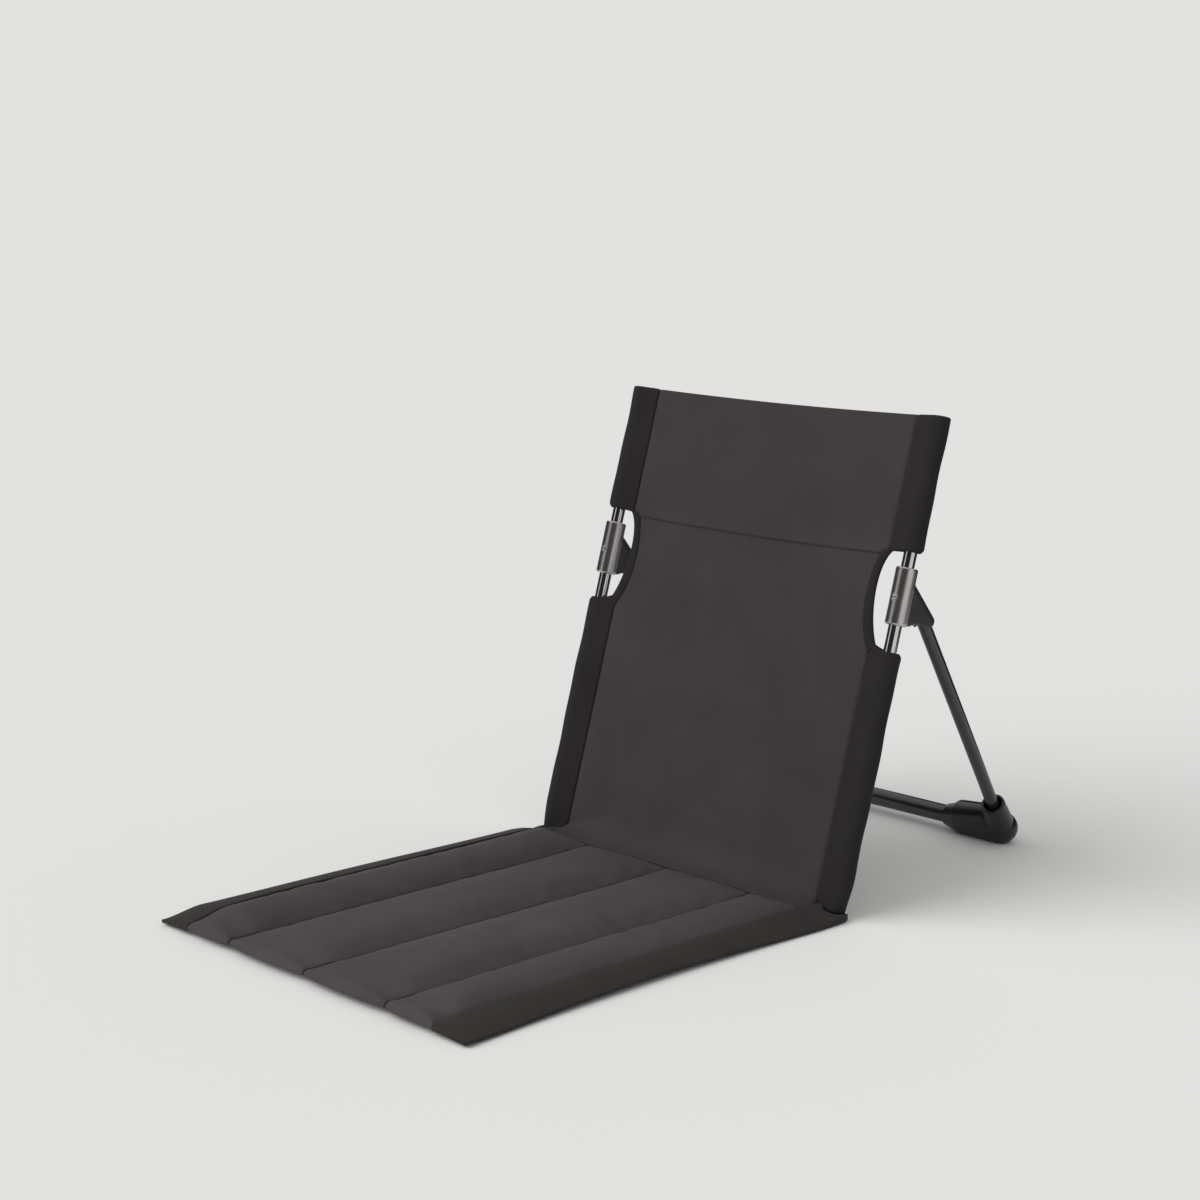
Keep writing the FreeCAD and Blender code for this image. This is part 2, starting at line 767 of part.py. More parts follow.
def seat_stations():
    """The mat's sections from front to rear: place, height of the seams, rise of the crowns. The front
    rolls over to the ground, and the crowns sink towards the crease."""
    front = -d.seat_reach.number
    rear = crease_y.number - d.soft_gap.number
    crown = d.crown_rise.number
    stations = []
    for share in FRONT_SHARES:
        ease = 1 - (1 - share) ** 2
        height = d.front_seam_height + (d.seam_height - d.front_seam_height) * ease
        rise = d.front_crown_rise + (d.crown_rise - d.front_crown_rise) * ease
        stations.append((front + share * d.seat_front_roll.number, height.number, rise.number))
    for share in REAR_SHARES:
        distance = d.seat_rear_rise + (d.seat_rear_roll - d.seat_rear_rise) * share
        sink = 1 - distance.number / d.seat_rear_rise.number
        stations.append((rear - distance.number, d.seam_height.number, crown * (1 - sink ** 2)))
    return stations


def loft_on_ground(wires, ground):
    solid = Part.makeLoft(wires, True, True)
    span = 2 * d.seat_reach.number
    above = Part.makeBox(span, span, span, V(-span / 2, -span, ground))
    return solid.common(above).Solids[0]


def channel_loft(seams, inset):
    """The stuffing of one channel, drawn in on every side by the inset."""
    stations = seat_stations()
    ends = {0: inset, len(stations) - 1: -inset}
    wires = []
    for number, (y, height, rise) in enumerate(stations):
        y += ends.get(number, 0.0)
        edges = [seams[0] + inset, seams[1] - inset]
        wires.append(channel_section(y, -TRIM, edges, height - inset, rise))
    return loft_on_ground(wires, inset)


def seat_seams():
    half = d.seat_pad_half.number
    seam = d.seat_seam.number
    return [-half, -seam, 0.0, seam, half]


def keep_shape(label, shape):
    thing = doc.addObject("Part::Feature", label + "_shape")
    thing.Shape = shape
    keep(thing, label, ground_frame())


def make_seat_cover(label):
    """Four arched channels, thin at the front and drawn up to the crease at the rear."""
    seams = seat_seams()
    wires = [channel_section(y, -TRIM, seams, height, rise) for y, height, rise in seat_stations()]
    tail_top = crease_z.number - d.soft_gap.number
    tail_y = crease_y.number - d.soft_gap.number
    tail_floor = tail_top - d.rear_edge.number
    wires.append(channel_section(tail_y, tail_floor, seams, tail_top, d.soft_gap.number))
    cover = loft_on_ground(wires, 0.0)
    inset = d.seat_cloth.number
    for pair in zip(seams[:-1], seams[1:]):
        cover = cover.cut(channel_loft(pair, inset))
    keep_shape(label, cover.Solids[0])


def make_foam(label, channel):
    seams = seat_seams()
    inset = d.seat_cloth.number + d.soft_gap.number
    keep_shape(label, channel_loft((seams[channel], seams[channel + 1]), inset))


def make_border(label, side):
    """A strip that slopes from the pad's outer seam to the ground, drawn in at the waist."""
    inner = d.seat_pad_half.number + d.soft_gap.number
    front = -d.seat_reach.number
    rear = -d.pocket_front.number - d.soft_gap.number
    rolled = front + d.seat_front_roll.number
    middle = (front + rear) / 2
    waist = d.seat_waist_half.number
    edge = d.edge_height.number
    places = [station[:2] for station in seat_stations()[:len(FRONT_SHARES)]]
    places += [(rolled + (rear - rolled) * share, d.seam_height.number) for share in BORDER_SHARES]
    wires = []
    for y, height in places:
        aside = ((y - middle) / (rear - middle)) ** 2
        end_half = d.seat_front_half.number if y < middle else d.seat_rear_half.number
        outer = waist + (end_half - waist) * aside
        top = height + (d.border_rise.number - d.seam_height.number) * (1 - aside)
        corners = [
            V(side * inner, y, -TRIM),
            V(side * outer, y, -TRIM),
            V(side * outer, y, edge),
            V(side * inner, y, top),
        ]
        wires.append(Part.makePolygon(corners + corners[:1]))
    keep_shape(label, loft_on_ground(wires, 0.0))


def make_corner_pocket(label, side):
    """The mat's rear corner, folded up into a low cup for the foot of the pole."""
    body = new_body(label, ground_frame(side * d.pole_spacing.number / 2))
    pocket_inner = d.pole_spacing / 2 - d.seat_pad_half - d.soft_gap
    base = new_sketch(body, "XY_Plane")
    draw_outline(base, [
        (d.pocket_outer, -d.pocket_front),
        (d.pocket_outer, d.pocket_rear),
        (-pocket_inner, d.pocket_rear),
        (-pocket_inner, -d.pocket_front),
    ], flip=side)
    block = pad(body, base, d.pocket_height)
    round_edges(body, block, d.pocket_round, lambda edge, middle: middle.y > 0
                and abs(middle.z - d.pocket_height.number / 2) < 0.01)
    hollow = new_sketch(body, "XY_Plane", d.pocket_wall)
    draw_outline(hollow, [
        (d.pocket_outer - d.pocket_wall, -d.pocket_hollow_front),
        (d.pocket_outer - d.pocket_wall, d.pocket_rear - d.pocket_wall),
        (d.pocket_wall - pocket_inner, d.pocket_rear - d.pocket_wall),
        (d.pocket_wall - pocket_inner, -d.pocket_hollow_front),
    ], flip=side)
    pocket(body, hollow, d.pocket_height, reverse=True)


# The chair
for name, side in SIDES:
    make_pole(f"{name}_lower_pole", side, d.pole_base, d.pole_split, True)
    make_pole(f"{name}_upper_pole", side, d.pole_split + d.fixed_fit, d.pole_top, False)
    make_cap(f"{name}_pole_foot_cap", side, d.pole_base, False)
    make_cap(f"{name}_pole_top_cap", side, d.pole_top, True)
    make_bracket(f"{name}_bracket", side)
    make_screw(f"{name}_bracket_screw", side)
    make_pin(f"{name}_hinge_pin", side)
    make_knuckle(f"{name}_leg_knuckle", side)
    make_leg(f"{name}_leg_tube", side)
    make_foot(f"{name}_foot", side)
    make_sleeve(f"{name}_lower_sleeve", side, d.lower_sleeve_base, d.cutout_base - d.soft_gap, False)
    make_sleeve(f"{name}_upper_sleeve", side, d.upper_sleeve_base, d.upper_sleeve_top, True)
    make_binding(f"{name}_cutout_binding", side)
    make_border(f"{name}_seat_border", side)
    make_corner_pocket(f"{name}_corner_pocket", side)
make_crossbar("crossbar")
make_back_panel("back_panel")
make_head_panel("head_panel")
make_seat_cover("seat_cover")
for channel in range(len(seat_seams()) - 1):
    make_foam(f"seat_foam_{channel + 1}", channel)
doc.recompute()

# Every object is sound, and every cut took something away
for thing in doc.Objects:
    if {"Invalid", "Error"} & set(thing.State):
        raise RuntimeError(f"{thing.Label} failed: {thing.State}")
    if thing.TypeId == "PartDesign::Pocket":
        if thing.Shape.Volume > thing.BaseFeature.Shape.Volume - 0.01:
            raise RuntimeError(f"{thing.Label} cuts nothing")
for piece in pieces:
    if piece.Shape.isNull() or not piece.Shape.isValid() or len(piece.Shape.Solids) != 1:
        raise RuntimeError(f"{piece.Label} is not one sound solid")

os.makedirs("parts", exist_ok=True)
for piece in pieces:
    piece.Shape.exportStep(os.path.join("parts", piece.Label + ".step"))
print(f"{len(pieces)} pieces")
print(f"stand hinge y {fold_y + pivot_back.number:.3f} z {pivot_height.number:.3f}")
print(f"crease y {fold_y + crease_y.number:.3f} z {crease_z.number:.3f}")
print(f"crossbar y {fold_y + crossbar_back.number:.3f}, fold {spread_angle.number:.2f} degrees")
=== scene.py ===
# %% [markdown]
# # A folding ground chair
# The chair is tough cloth on two leaning poles. A stand swings out behind the back and props it, and a
# padded mat is sewn to the foot of the back, so that the whole chair folds flat.
# The metal and plastic parts come from the CAD frame at their real size. This lesson paints those parts
# and models everything soft around them: the cloth of the back, its sleeves, and the quilted mat.

# %% Load the frame
import json
import math

import bmesh
import bpy
from mathutils import Euler, Matrix, Vector


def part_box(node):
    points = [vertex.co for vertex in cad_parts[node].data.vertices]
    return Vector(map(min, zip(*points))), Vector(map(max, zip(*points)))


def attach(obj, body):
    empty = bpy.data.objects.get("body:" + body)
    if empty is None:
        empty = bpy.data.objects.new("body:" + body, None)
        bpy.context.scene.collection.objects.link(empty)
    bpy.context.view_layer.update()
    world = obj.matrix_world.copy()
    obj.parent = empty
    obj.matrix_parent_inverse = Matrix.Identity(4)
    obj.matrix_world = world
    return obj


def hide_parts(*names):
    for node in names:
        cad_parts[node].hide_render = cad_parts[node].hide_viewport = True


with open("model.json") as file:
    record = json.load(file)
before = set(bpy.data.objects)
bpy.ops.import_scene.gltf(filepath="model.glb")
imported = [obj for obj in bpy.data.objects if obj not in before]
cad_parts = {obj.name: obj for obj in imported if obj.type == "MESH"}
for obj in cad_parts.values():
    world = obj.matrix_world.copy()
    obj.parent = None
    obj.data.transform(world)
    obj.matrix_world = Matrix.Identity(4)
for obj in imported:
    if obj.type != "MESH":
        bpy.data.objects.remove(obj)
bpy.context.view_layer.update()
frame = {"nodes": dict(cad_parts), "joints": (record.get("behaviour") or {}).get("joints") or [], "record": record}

MM = 0.001
SIDES = {"left": -1, "right": 1}
scene = bpy.context.scene

# %% [markdown]
# ## Places on the leaning back
# Everything on the back is easier to think about along the poles than along the ground. A place on the
# back is given by how far it is to the side, how far behind the poles it lies (setback) and how far up
# the poles it is (rise). One function turns that into a point in the room.

# %% Directions of the back
LEAN = math.radians(16.5)
pole_low, pole_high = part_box("right_lower_pole")
pole_middle = (pole_low + pole_high) / 2
POLE_X = pole_middle.x
FOLD_Y = pole_middle.y - pole_middle.z * math.tan(LEAN)
joints = {joint["name"]: joint for joint in frame["joints"]}
crease = Vector(joints["seat_fold"]["pos_m"])


def on_back(x, setback, rise):
    """A point of the room from its place on the back."""
    y = FOLD_Y + setback * math.cos(LEAN) + rise * math.sin(LEAN)
    z = rise * math.cos(LEAN) - setback * math.sin(LEAN)
    return Vector((x, y, z))


print("poles at x", round(POLE_X, 4), "and they meet the ground at y", round(FOLD_Y, 4))

# %% [markdown]
# ## Camera
# The camera stands to the right of the chair's front and looks a little down. Its place, its turn and
# its lens were found from the straight edges of the chair, so that the chair fills the picture as in
# the photograph. It is fixed by numbers, because nothing else in the scene needs to move it.

# %% Set up the camera
SENSOR = 36.0
FOCAL_IN_PICTURE_WIDTHS = 2.0293
CAMERA_FROM_FOLD = Vector((1.66077, -1.67512, 0.71137))
CAMERA_TURN = math.radians(46.801)
CAMERA_DIP = math.radians(10.361)

camera_data = bpy.data.cameras.new("photo_camera")
camera_data.sensor_width = SENSOR
camera_data.lens = SENSOR * FOCAL_IN_PICTURE_WIDTHS
camera = bpy.data.objects.new("photo_camera", camera_data)
camera.location = CAMERA_FROM_FOLD + Vector((0, FOLD_Y, 0))
camera.rotation_euler = Euler((math.pi / 2 - CAMERA_DIP, 0, CAMERA_TURN))
scene.collection.objects.link(camera)
scene.camera = camera
print("lens", round(camera_data.lens, 2), "mm")

# %% [markdown]
# ## Colour and nodes
# A colour given as a hex code is an sRGB value, but a renderer counts in linear light, so one small
# function turns a hex code into linear numbers. A second small function adds a shader node, sets its
# options and either fills or links its sockets, and a third starts a material. All materials are written
# with these.

# %% Helpers for materials
def linear(hex_colour):
    """Linear red, green, blue and alpha from an sRGB hex code."""
    shares = [int(hex_colour[place:place + 2], 16) / 255 for place in (0, 2, 4)]
    bright = [share / 12.92 if share <= 0.04045 else ((share + 0.055) / 1.055) ** 2.4 for share in shares]
    return (*bright, 1.0)


def add_node(tree, kind, inputs=None, **settings):
    """A new node with its settings, and with its sockets filled or linked."""
    node = tree.nodes.new(kind)
    for name, value in settings.items():
        setattr(node, name, value)
    for socket, value in (inputs or {}).items():
        if isinstance(value, bpy.types.NodeSocket):
            tree.links.new(value, node.inputs[socket])
        else:
            node.inputs[socket].default_value = value
    return node


def new_material(name):
    """A new material, with its node tree and its shader."""
    material = bpy.data.materials.new(name)
    material.use_nodes = True
    tree = material.node_tree
    return material, tree, tree.nodes["Principled BSDF"]


print("pale grey in linear light", [round(share, 3) for share in linear("E2E2E0")[:3]])

# %% [markdown]
# ## Floor and light
# The chair stands on a pale floor that runs into a background of the same grey, under light so soft that
# its shadow is only a smudge. An even sky and one very wide sun, from the front and the left, give that:
# on open floor they add up to one, so the floor's colour comes out as it is written, and so do the
# chair's colours.

# %% Sky, sun and floor
PALE = linear("E2E2E0")
SKY_LIGHT = 0.66
SUN_HEIGHT = math.radians(32)
SUN_TURN = math.radians(-30)
SUN_WIDTH = math.radians(62)
FLOOR_HALF = 60.0
FLOOR_DROP = 0.3 * MM


def as_object(name, bm, material):
    """A bmesh made into an object of the scene, with one material."""
    mesh = bpy.data.meshes.new(name)
    bm.to_mesh(mesh)
    bm.free()
    mesh.materials.append(material)
    thing = bpy.data.objects.new(name, mesh)
    scene.collection.objects.link(thing)
    return thing


scene.view_settings.view_transform = "Standard"
world = bpy.data.worlds.new("studio")
scene.world = world
world.use_nodes = True
sky = world.node_tree
sky.nodes.clear()
rays = add_node(sky, "ShaderNodeLightPath").outputs
direct = add_node(sky, "ShaderNodeMath", {0: rays["Is Camera Ray"], 1: rays["Is Glossy Ray"]},
                  operation="ADD")
seen = add_node(sky, "ShaderNodeMath", {0: direct.outputs[0], 1: rays["Is Transmission Ray"]},
                operation="ADD", use_clamp=True)
lit = add_node(sky, "ShaderNodeBackground", {"Color": (1, 1, 1, 1), "Strength": SKY_LIGHT})
backdrop = add_node(sky, "ShaderNodeBackground", {"Color": PALE, "Strength": 1})
either = add_node(sky, "ShaderNodeMixShader",
                  {0: seen.outputs[0], 1: lit.outputs[0], 2: backdrop.outputs[0]})
add_node(sky, "ShaderNodeOutputWorld", {"Surface": either.outputs[0]})

sun_data = bpy.data.lights.new("wide_sun", "SUN")
sun_data.angle = SUN_WIDTH
sun_data.energy = (1 - SKY_LIGHT) * math.pi / math.sin(SUN_HEIGHT)
sun = bpy.data.objects.new("wide_sun", sun_data)
sun.rotation_euler = Euler((math.pi / 2 - SUN_HEIGHT, 0, SUN_TURN))
sun.visible_glossy = False
scene.collection.objects.link(sun)

floor_paint, _, floor_shader = new_material("pale_floor")
floor_shader.inputs["Base Color"].default_value = PALE
floor_shader.inputs["Roughness"].default_value = 1.0
floor_shader.inputs["Specular IOR Level"].default_value = 0.0

floor_bm = bmesh.new()
bmesh.ops.create_grid(floor_bm, x_segments=1, y_segments=1, size=FLOOR_HALF)
bmesh.ops.translate(floor_bm, verts=floor_bm.verts, vec=(0, 0, -FLOOR_DROP))
floor = as_object("floor", floor_bm, floor_paint)
print("sun strength", round(sun_data.energy, 3))

# %% [markdown]
# ## Cards for the metal
# Polished and satin metal is only as interesting as what stands around it. In a studio, black cards are
# set up round the object, and they draw the dark streaks that make a tube look round. Here they are seen
# by reflections alone, so they neither light nor shade the chair.

# %% Hang the cards
# Each card: its turn round the chair and its height in degrees, then how far off it hangs, half its width
# and half its length in metres.
CARDS = {
    "camera_card": (26, 24, 2.2, 1.7, 1.1),
    "side_card": (157, 10, 1.3, 0.95, 0.6),
    "rear_card": (176, 14, 0.8, 0.45, 0.25),
    "left_card": (-77, 20, 2.0, 1.45, 0.65),
}
CARD_BLACK = linear("0A0A0A")


def hang_card(name, turn, height, away, half_width, half_length):
    """A card that faces the chair and is seen only in reflections."""
    paint, _, shader = new_material(name)
    shader.inputs["Base Color"].default_value = CARD_BLACK
    bm = bmesh.new()
    bmesh.ops.create_grid(bm, x_segments=1, y_segments=1, size=1)
    size = Matrix.Diagonal((half_width, half_length, 1, 1))
    upright = Matrix.Translation((0, -away, 0)) @ Matrix.Rotation(math.pi / 2, 4, "X")
    swing = Matrix.Rotation(math.radians(turn), 4, "Z") @ Matrix.Rotation(math.radians(-height), 4, "X")
    bmesh.ops.transform(bm, matrix=swing @ upright @ size, verts=bm.verts)
    card = as_object(name, bm, paint)
    card.visible_camera = False
    card.visible_diffuse = False
    card.visible_transmission = False
    card.visible_shadow = False


for name, card_measures in CARDS.items():
    hang_card(name, *card_measures)
print("cards:", list(CARDS))

# %% [markdown]
# ## Woven cloth
# The back, the sleeves and the mat are polyester oxford: fine yarn in a plain weave, coated behind, matt
# with a faint sheen at a flat angle. Each cloth piece carries its own thread directions as an attribute
# in metres, so the weave follows the cloth round every bend. Real yarn is about 0.4 mm wide, which is
# finer than a pixel here, so it is drawn 0.9 mm wide to show.

# %% The cloth material
THREAD_WIDTH = 0.9 * MM
# At a scale of 1, the wave texture repeats after this length.
WAVE_PERIOD = math.pi / 10
THREAD_RELIEF = 0.12 * MM
RELIEF_STRENGTH = 0.35
DYE_PATCH = 70 * MM
HANDLING_PATCH = 14 * MM
WEAVE_IN_TONE = 0.35
FADING = (0.35, 0.85)
RUBBED_ROUGHNESS = (0.68, 0.86)
CLOTH_SPECULAR = 0.12
CLOTH_SHEEN = 0.03
SHEEN_ROUGHNESS = 0.45


def oxford_cloth(name, colour, faded):
    """Plain-woven polyester: dyed yarn, a little faded in patches, with the relief of its threads."""
    material, tree, shader = new_material(name)
    thread = add_node(tree, "ShaderNodeAttribute", attribute_name="thread").outputs["Vector"]
    place = add_node(tree, "ShaderNodeTexCoord").outputs["Object"]
    yarns = {"Vector": thread, "Scale": WAVE_PERIOD / THREAD_WIDTH}
    warp = add_node(tree, "ShaderNodeTexWave", yarns, bands_direction="X").outputs["Fac"]
    weft = add_node(tree, "ShaderNodeTexWave", yarns, bands_direction="Y").outputs["Fac"]
    weave = add_node(tree, "ShaderNodeMath", {0: warp, 1: weft}, operation="MULTIPLY").outputs[0]
    dye = add_node(tree, "ShaderNodeTexNoise", {"Vector": place, "Scale": 1 / DYE_PATCH, "Detail": 3.0})
    wear = add_node(tree, "ShaderNodeTexNoise",
                    {"Vector": place, "Scale": 1 / HANDLING_PATCH, "Detail": 4.0})
    depth = add_node(tree, "ShaderNodeMath", {0: weave, 1: WEAVE_IN_TONE, 2: dye.outputs["Fac"]},
                     operation="MULTIPLY_ADD")
    tone = add_node(tree, "ShaderNodeMapRange",
                    {"Value": depth.outputs[0], "From Min": FADING[0], "From Max": FADING[1]})
    # The colour mix has its own sockets: 0 is the share, 6 and 7 are the two colours.
    dyed = add_node(tree, "ShaderNodeMix", {0: tone.outputs[0], 6: linear(colour), 7: linear(faded)},
                    data_type="RGBA")
    rubbed = add_node(tree, "ShaderNodeMapRange",
                      {"Value": wear.outputs["Fac"], "To Min": RUBBED_ROUGHNESS[0],
                       "To Max": RUBBED_ROUGHNESS[1]})
    relief = add_node(tree, "ShaderNodeBump",
                      {"Height": weave, "Strength": RELIEF_STRENGTH, "Distance": THREAD_RELIEF})
    tree.links.new(dyed.outputs[2], shader.inputs["Base Color"])
    tree.links.new(rubbed.outputs[0], shader.inputs["Roughness"])
    tree.links.new(relief.outputs[0], shader.inputs["Normal"])
    shader.inputs["Specular IOR Level"].default_value = CLOTH_SPECULAR
    shader.inputs["Sheen Weight"].default_value = CLOTH_SHEEN
    shader.inputs["Sheen Roughness"].default_value = SHEEN_ROUGHNESS
    return material


PANEL_CLOTH = oxford_cloth("charcoal_oxford", "363132", "3D3839")
QUILT_CLOTH = oxford_cloth("charcoal_oxford_quilt", "423D3E", "4A4546")
SLEEVE_CLOTH = oxford_cloth("black_oxford", "222021", "292628")
BORDER_CLOTH = oxford_cloth("olive_black_oxford", "2E2C2A", "353230")
print("cloths:", [cloth.name for cloth in (PANEL_CLOTH, QUILT_CLOTH, SLEEVE_CLOTH, BORDER_CLOTH)])

# %% [markdown]
# ## Metal and plastic
# The poles are drawn aluminium tube, polished almost to a mirror, with faint lines along the draw. The
# brackets are moulded nylon, and their barrels carry a satin metallic paint. Their webs get a darker, plain
# finish: painted shade for the dark that the satin finish reflects there. The legs and crossbar are
# powder-coated steel tube, a finish with a slight orange peel. The feet and caps are bare moulded nylon
# with a fine grain. The screws are bright turned steel. The seams' ditches are painted dark: partly a dull
# polyester thread, mostly painted shade in the groove. Each finish is one shader with a noise for its
# surface, so one function writes them all from a few numbers.

# %% The hard finishes
WEAR_PATCH = 30 * MM
WEAR_RANGE = (0.4, 0.75)
GLOSS_RANGE = (0.85, 1.2)
GRAIN_STRENGTH = 0.3


def hard_finish(name, colour, worn, roughness, metallic=0.0, grain=0.5 * MM, relief=0.0, stretch=1.0,
                specular=0.5):
    """A hard surface: its colour drifts towards the worn one, and its grain drives gloss and relief."""
    material, tree, shader = new_material(name)
    place = add_node(tree, "ShaderNodeTexCoord").outputs["Object"]
    drawn = {"Vector": place, "Rotation": (-LEAN, 0, 0), "Scale": (1, 1, stretch)}
    along = add_node(tree, "ShaderNodeMapping", drawn, vector_type="TEXTURE").outputs[0]
    fine = add_node(tree, "ShaderNodeTexNoise", {"Vector": along, "Scale": 1 / grain, "Detail": 2.0})
    broad = add_node(tree, "ShaderNodeTexNoise", {"Vector": place, "Scale": 1 / WEAR_PATCH, "Detail": 3.0})
    drift = add_node(tree, "ShaderNodeMapRange",
                     {"Value": broad.outputs["Fac"], "From Min": WEAR_RANGE[0], "From Max": WEAR_RANGE[1]})
    paint = add_node(tree, "ShaderNodeMix", {0: drift.outputs[0], 6: linear(colour), 7: linear(worn)},
                     data_type="RGBA")
    gloss = add_node(tree, "ShaderNodeMapRange",
                     {"Value": fine.outputs["Fac"], "To Min": roughness * GLOSS_RANGE[0],
                      "To Max": roughness * GLOSS_RANGE[1]})
    bump = add_node(tree, "ShaderNodeBump",
                    {"Height": fine.outputs["Fac"], "Strength": GRAIN_STRENGTH, "Distance": relief})
    tree.links.new(paint.outputs[2], shader.inputs["Base Color"])
    tree.links.new(gloss.outputs[0], shader.inputs["Roughness"])
    tree.links.new(bump.outputs[0], shader.inputs["Normal"])
    shader.inputs["Metallic"].default_value = metallic
    shader.inputs["Specular IOR Level"].default_value = specular
    return material


POLISHED = hard_finish("polished_aluminium", "D6D3D3", "C6C3C4", 0.1, metallic=1.0, grain=0.6 * MM,
                       relief=0.004 * MM, stretch=40)
PAINTED = hard_finish("satin_metallic_paint", "C4C0C0", "B8B4B4", 0.3, metallic=1.0, grain=0.5 * MM,
                      relief=0.01 * MM)
# The web's darker finish is painted shade: the same satin surface of the bracket reflects dark there.
WEB_PAINTED_SHADE = hard_finish("satin_grey_nylon", "2B2A2B", "333233", 0.38, grain=0.6 * MM, relief=0.02 * MM)
COATED = hard_finish("powder_coated_steel", "232324", "2C2C2D", 0.2, grain=1.2 * MM, relief=0.02 * MM,
                     specular=0.7)
MOULDED = hard_finish("moulded_black_nylon", "161516", "1E1D1E", 0.3, grain=0.6 * MM, relief=0.02 * MM)
STEEL = hard_finish("bright_steel", "C8C8CA", "B4B4B6", 0.2, metallic=1.0, grain=0.4 * MM)
# Dark faces in the mat's seam ditches: partly the thread, mostly painted shade where the groove lies in shadow.
THREAD_AND_DITCH_SHADE = hard_finish("polyester_sewing_thread", "1A1819", "242223", 0.7, grain=0.4 * MM, relief=0.04 * MM)

FINISH_OF_SLOT = {
    "polished_pole": POLISHED,
    "bracket_plastic": PAINTED,
    "leg_coating": COATED,
    "foot_plastic": MOULDED,
    "cap_plastic": MOULDED,
    "fastener_steel": STEEL,
}
print("hard finishes:", sorted({finish.name for finish in FINISH_OF_SLOT.values()}))

# %% [markdown]
# ## Smooth tubes and rounded mouldings
# The CAD parts arrive as loose triangles, and a mirror-bright tube shows every one of them. A copy whose
# points are merged can be shaded smooth, with only its real edges left sharp. The brackets and feet come
# out of a mould, and a moulding has no sharp corner. Their copies are remeshed in small voxels and then
# smoothed, which rounds the edges and fills the inner corners as a mould does. Bevels can't do that here,
# because the corners lie where several tubes run into each other.

# %% A helper for new pieces
def new_piece(name, bm, material, body):
    """A bmesh made into a smooth object that rides on a body of the chair."""
    bmesh.ops.recalc_face_normals(bm, faces=bm.faces)
    for face in bm.faces:
        face.smooth = True
    piece = as_object(name, bm, material)
    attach(piece, body)
    return piece


# %% Copies of the hard parts
MERGE = 0.002 * MM
SHARP_ANGLE = math.radians(38)
VOXEL = 0.7 * MM
SMOOTHING = {"bracket": 10, "foot": 14}
# The two ends (x, y, z) of the foot's shoulder, in millimetres for the right-hand side.
SHOULDER_LOW = (92, 389, 18.5)
SHOULDER_HIGH = (137, 383, 27)
SHOULDER_RADIUS = (16.5 * MM, 13.5 * MM)
SHOULDER_SIDES = 48
PAINT_REACH = 11.2 * MM
BODIES = frame["record"]["behaviour"]["bodies"]
BODY_OF = {node: body for body, nodes in BODIES.items() for node in nodes}


def merged_copy(node):
    """A CAD part's mesh with its loose triangles joined."""
    bm = bmesh.new()
    bm.from_mesh(frame["nodes"][node].data)
    bmesh.ops.remove_doubles(bm, verts=bm.verts, dist=MERGE)
    return bm


def moulded(bm, passes):
    """A rough solid turned into one rounded skin."""
    mesh = bpy.data.meshes.new("rough_moulding")
    bm.to_mesh(mesh)
    bm.free()
    rough = bpy.data.objects.new("rough_moulding", mesh)
    scene.collection.objects.link(rough)
    voxels = rough.modifiers.new("voxels", "REMESH")
    voxels.mode = "VOXEL"
    voxels.voxel_size = VOXEL
    soften = rough.modifiers.new("soften", "SMOOTH")
    soften.factor = 0.5
    soften.iterations = passes
    skin = bmesh.new()
    skin.from_object(rough, bpy.context.evaluated_depsgraph_get())
    bpy.data.objects.remove(rough)
    bpy.data.meshes.remove(mesh)
    return skin


def add_shoulder(bm, side):
    """A stout cone fills the corner where the foot's collar climbs to the mouth of its socket."""
    low, high = Vector(SHOULDER_LOW) * MM, Vector(SHOULDER_HIGH) * MM
    low.x, high.x = side * low.x, side * high.x
    turn = (high - low).to_track_quat("Z", "Y").to_matrix().to_4x4()
    place = Matrix.Translation((low + high) / 2) @ turn
    wide, narrow = SHOULDER_RADIUS
    bmesh.ops.create_cone(bm, cap_ends=True, segments=SHOULDER_SIDES, radius1=wide, radius2=narrow,
                          depth=(high - low).length, matrix=place)


def shade_painted_web(piece):
    """Only the barrel keeps the satin paint: away from the pole, the web is made darker, as painted shade."""
    piece.data.materials.append(WEB_PAINTED_SHADE)
    for face in piece.data.polygons:
        setback = (face.center.y - FOLD_Y) * math.cos(LEAN) - face.center.z * math.sin(LEAN)
        if math.hypot(abs(face.center.x) - POLE_X, setback) > PAINT_REACH:
            face.material_index = 1


hard_pieces = []
for subpart in frame["record"]["subparts"]:
    node, slot = subpart["node"], subpart["material_slot"]
    if slot not in FINISH_OF_SLOT:
        continue
    hand, _, part = node.partition("_")
    passes = SMOOTHING.get(part)
    shape = merged_copy(node)
    if part == "foot":
        add_shoulder(shape, SIDES[hand])
    if passes:
        shape = moulded(shape, passes)
    piece = new_piece(f"{node}_finished", shape, FINISH_OF_SLOT[slot], BODY_OF[node])
    if not passes:
        piece.data.set_sharp_from_angle(angle=SHARP_ANGLE)
    if part == "bracket":
        shade_painted_web(piece)
    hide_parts(node)
    hard_pieces.append(piece)
hard_faces = sum(len(piece.data.polygons) for piece in hard_pieces)
print("hard pieces:", len(hard_pieces), "with", hard_faces, "faces")

# %% [markdown]
# ## The lower back panel
# The panel is one sheet stretched between the poles. Near the ground it leaves the poles and curves
# forward to the crease, where the mat is sewn on. Each side is hollowed beside its bracket. A flat grid
# bent by a formula suits a stretched sheet better than sculpting: every column is one run of cloth from
# the crease to the seam under the head panel.

# %% Helpers for cloth
CLOTH = 1.5 * MM
CLOTH_MIDDLE = -1.0 * MM


def ease(share):
    """A soft step from 0 to 1."""
    share = min(1.0, max(0.0, share))
    return share * share * (3 - 2 * share)


def mix(start, end, share):
    """The value at a share of the way from the start to the end."""
    return start + (end - start) * share


def bezier(points, share):
    """The point at that share of a curve that starts on the first point and ends on the last."""
    points = [Vector(point) for point in points]
    while len(points) > 1:
        points = [before.lerp(after, share) for before, after in zip(points, points[1:])]
    return points[0]


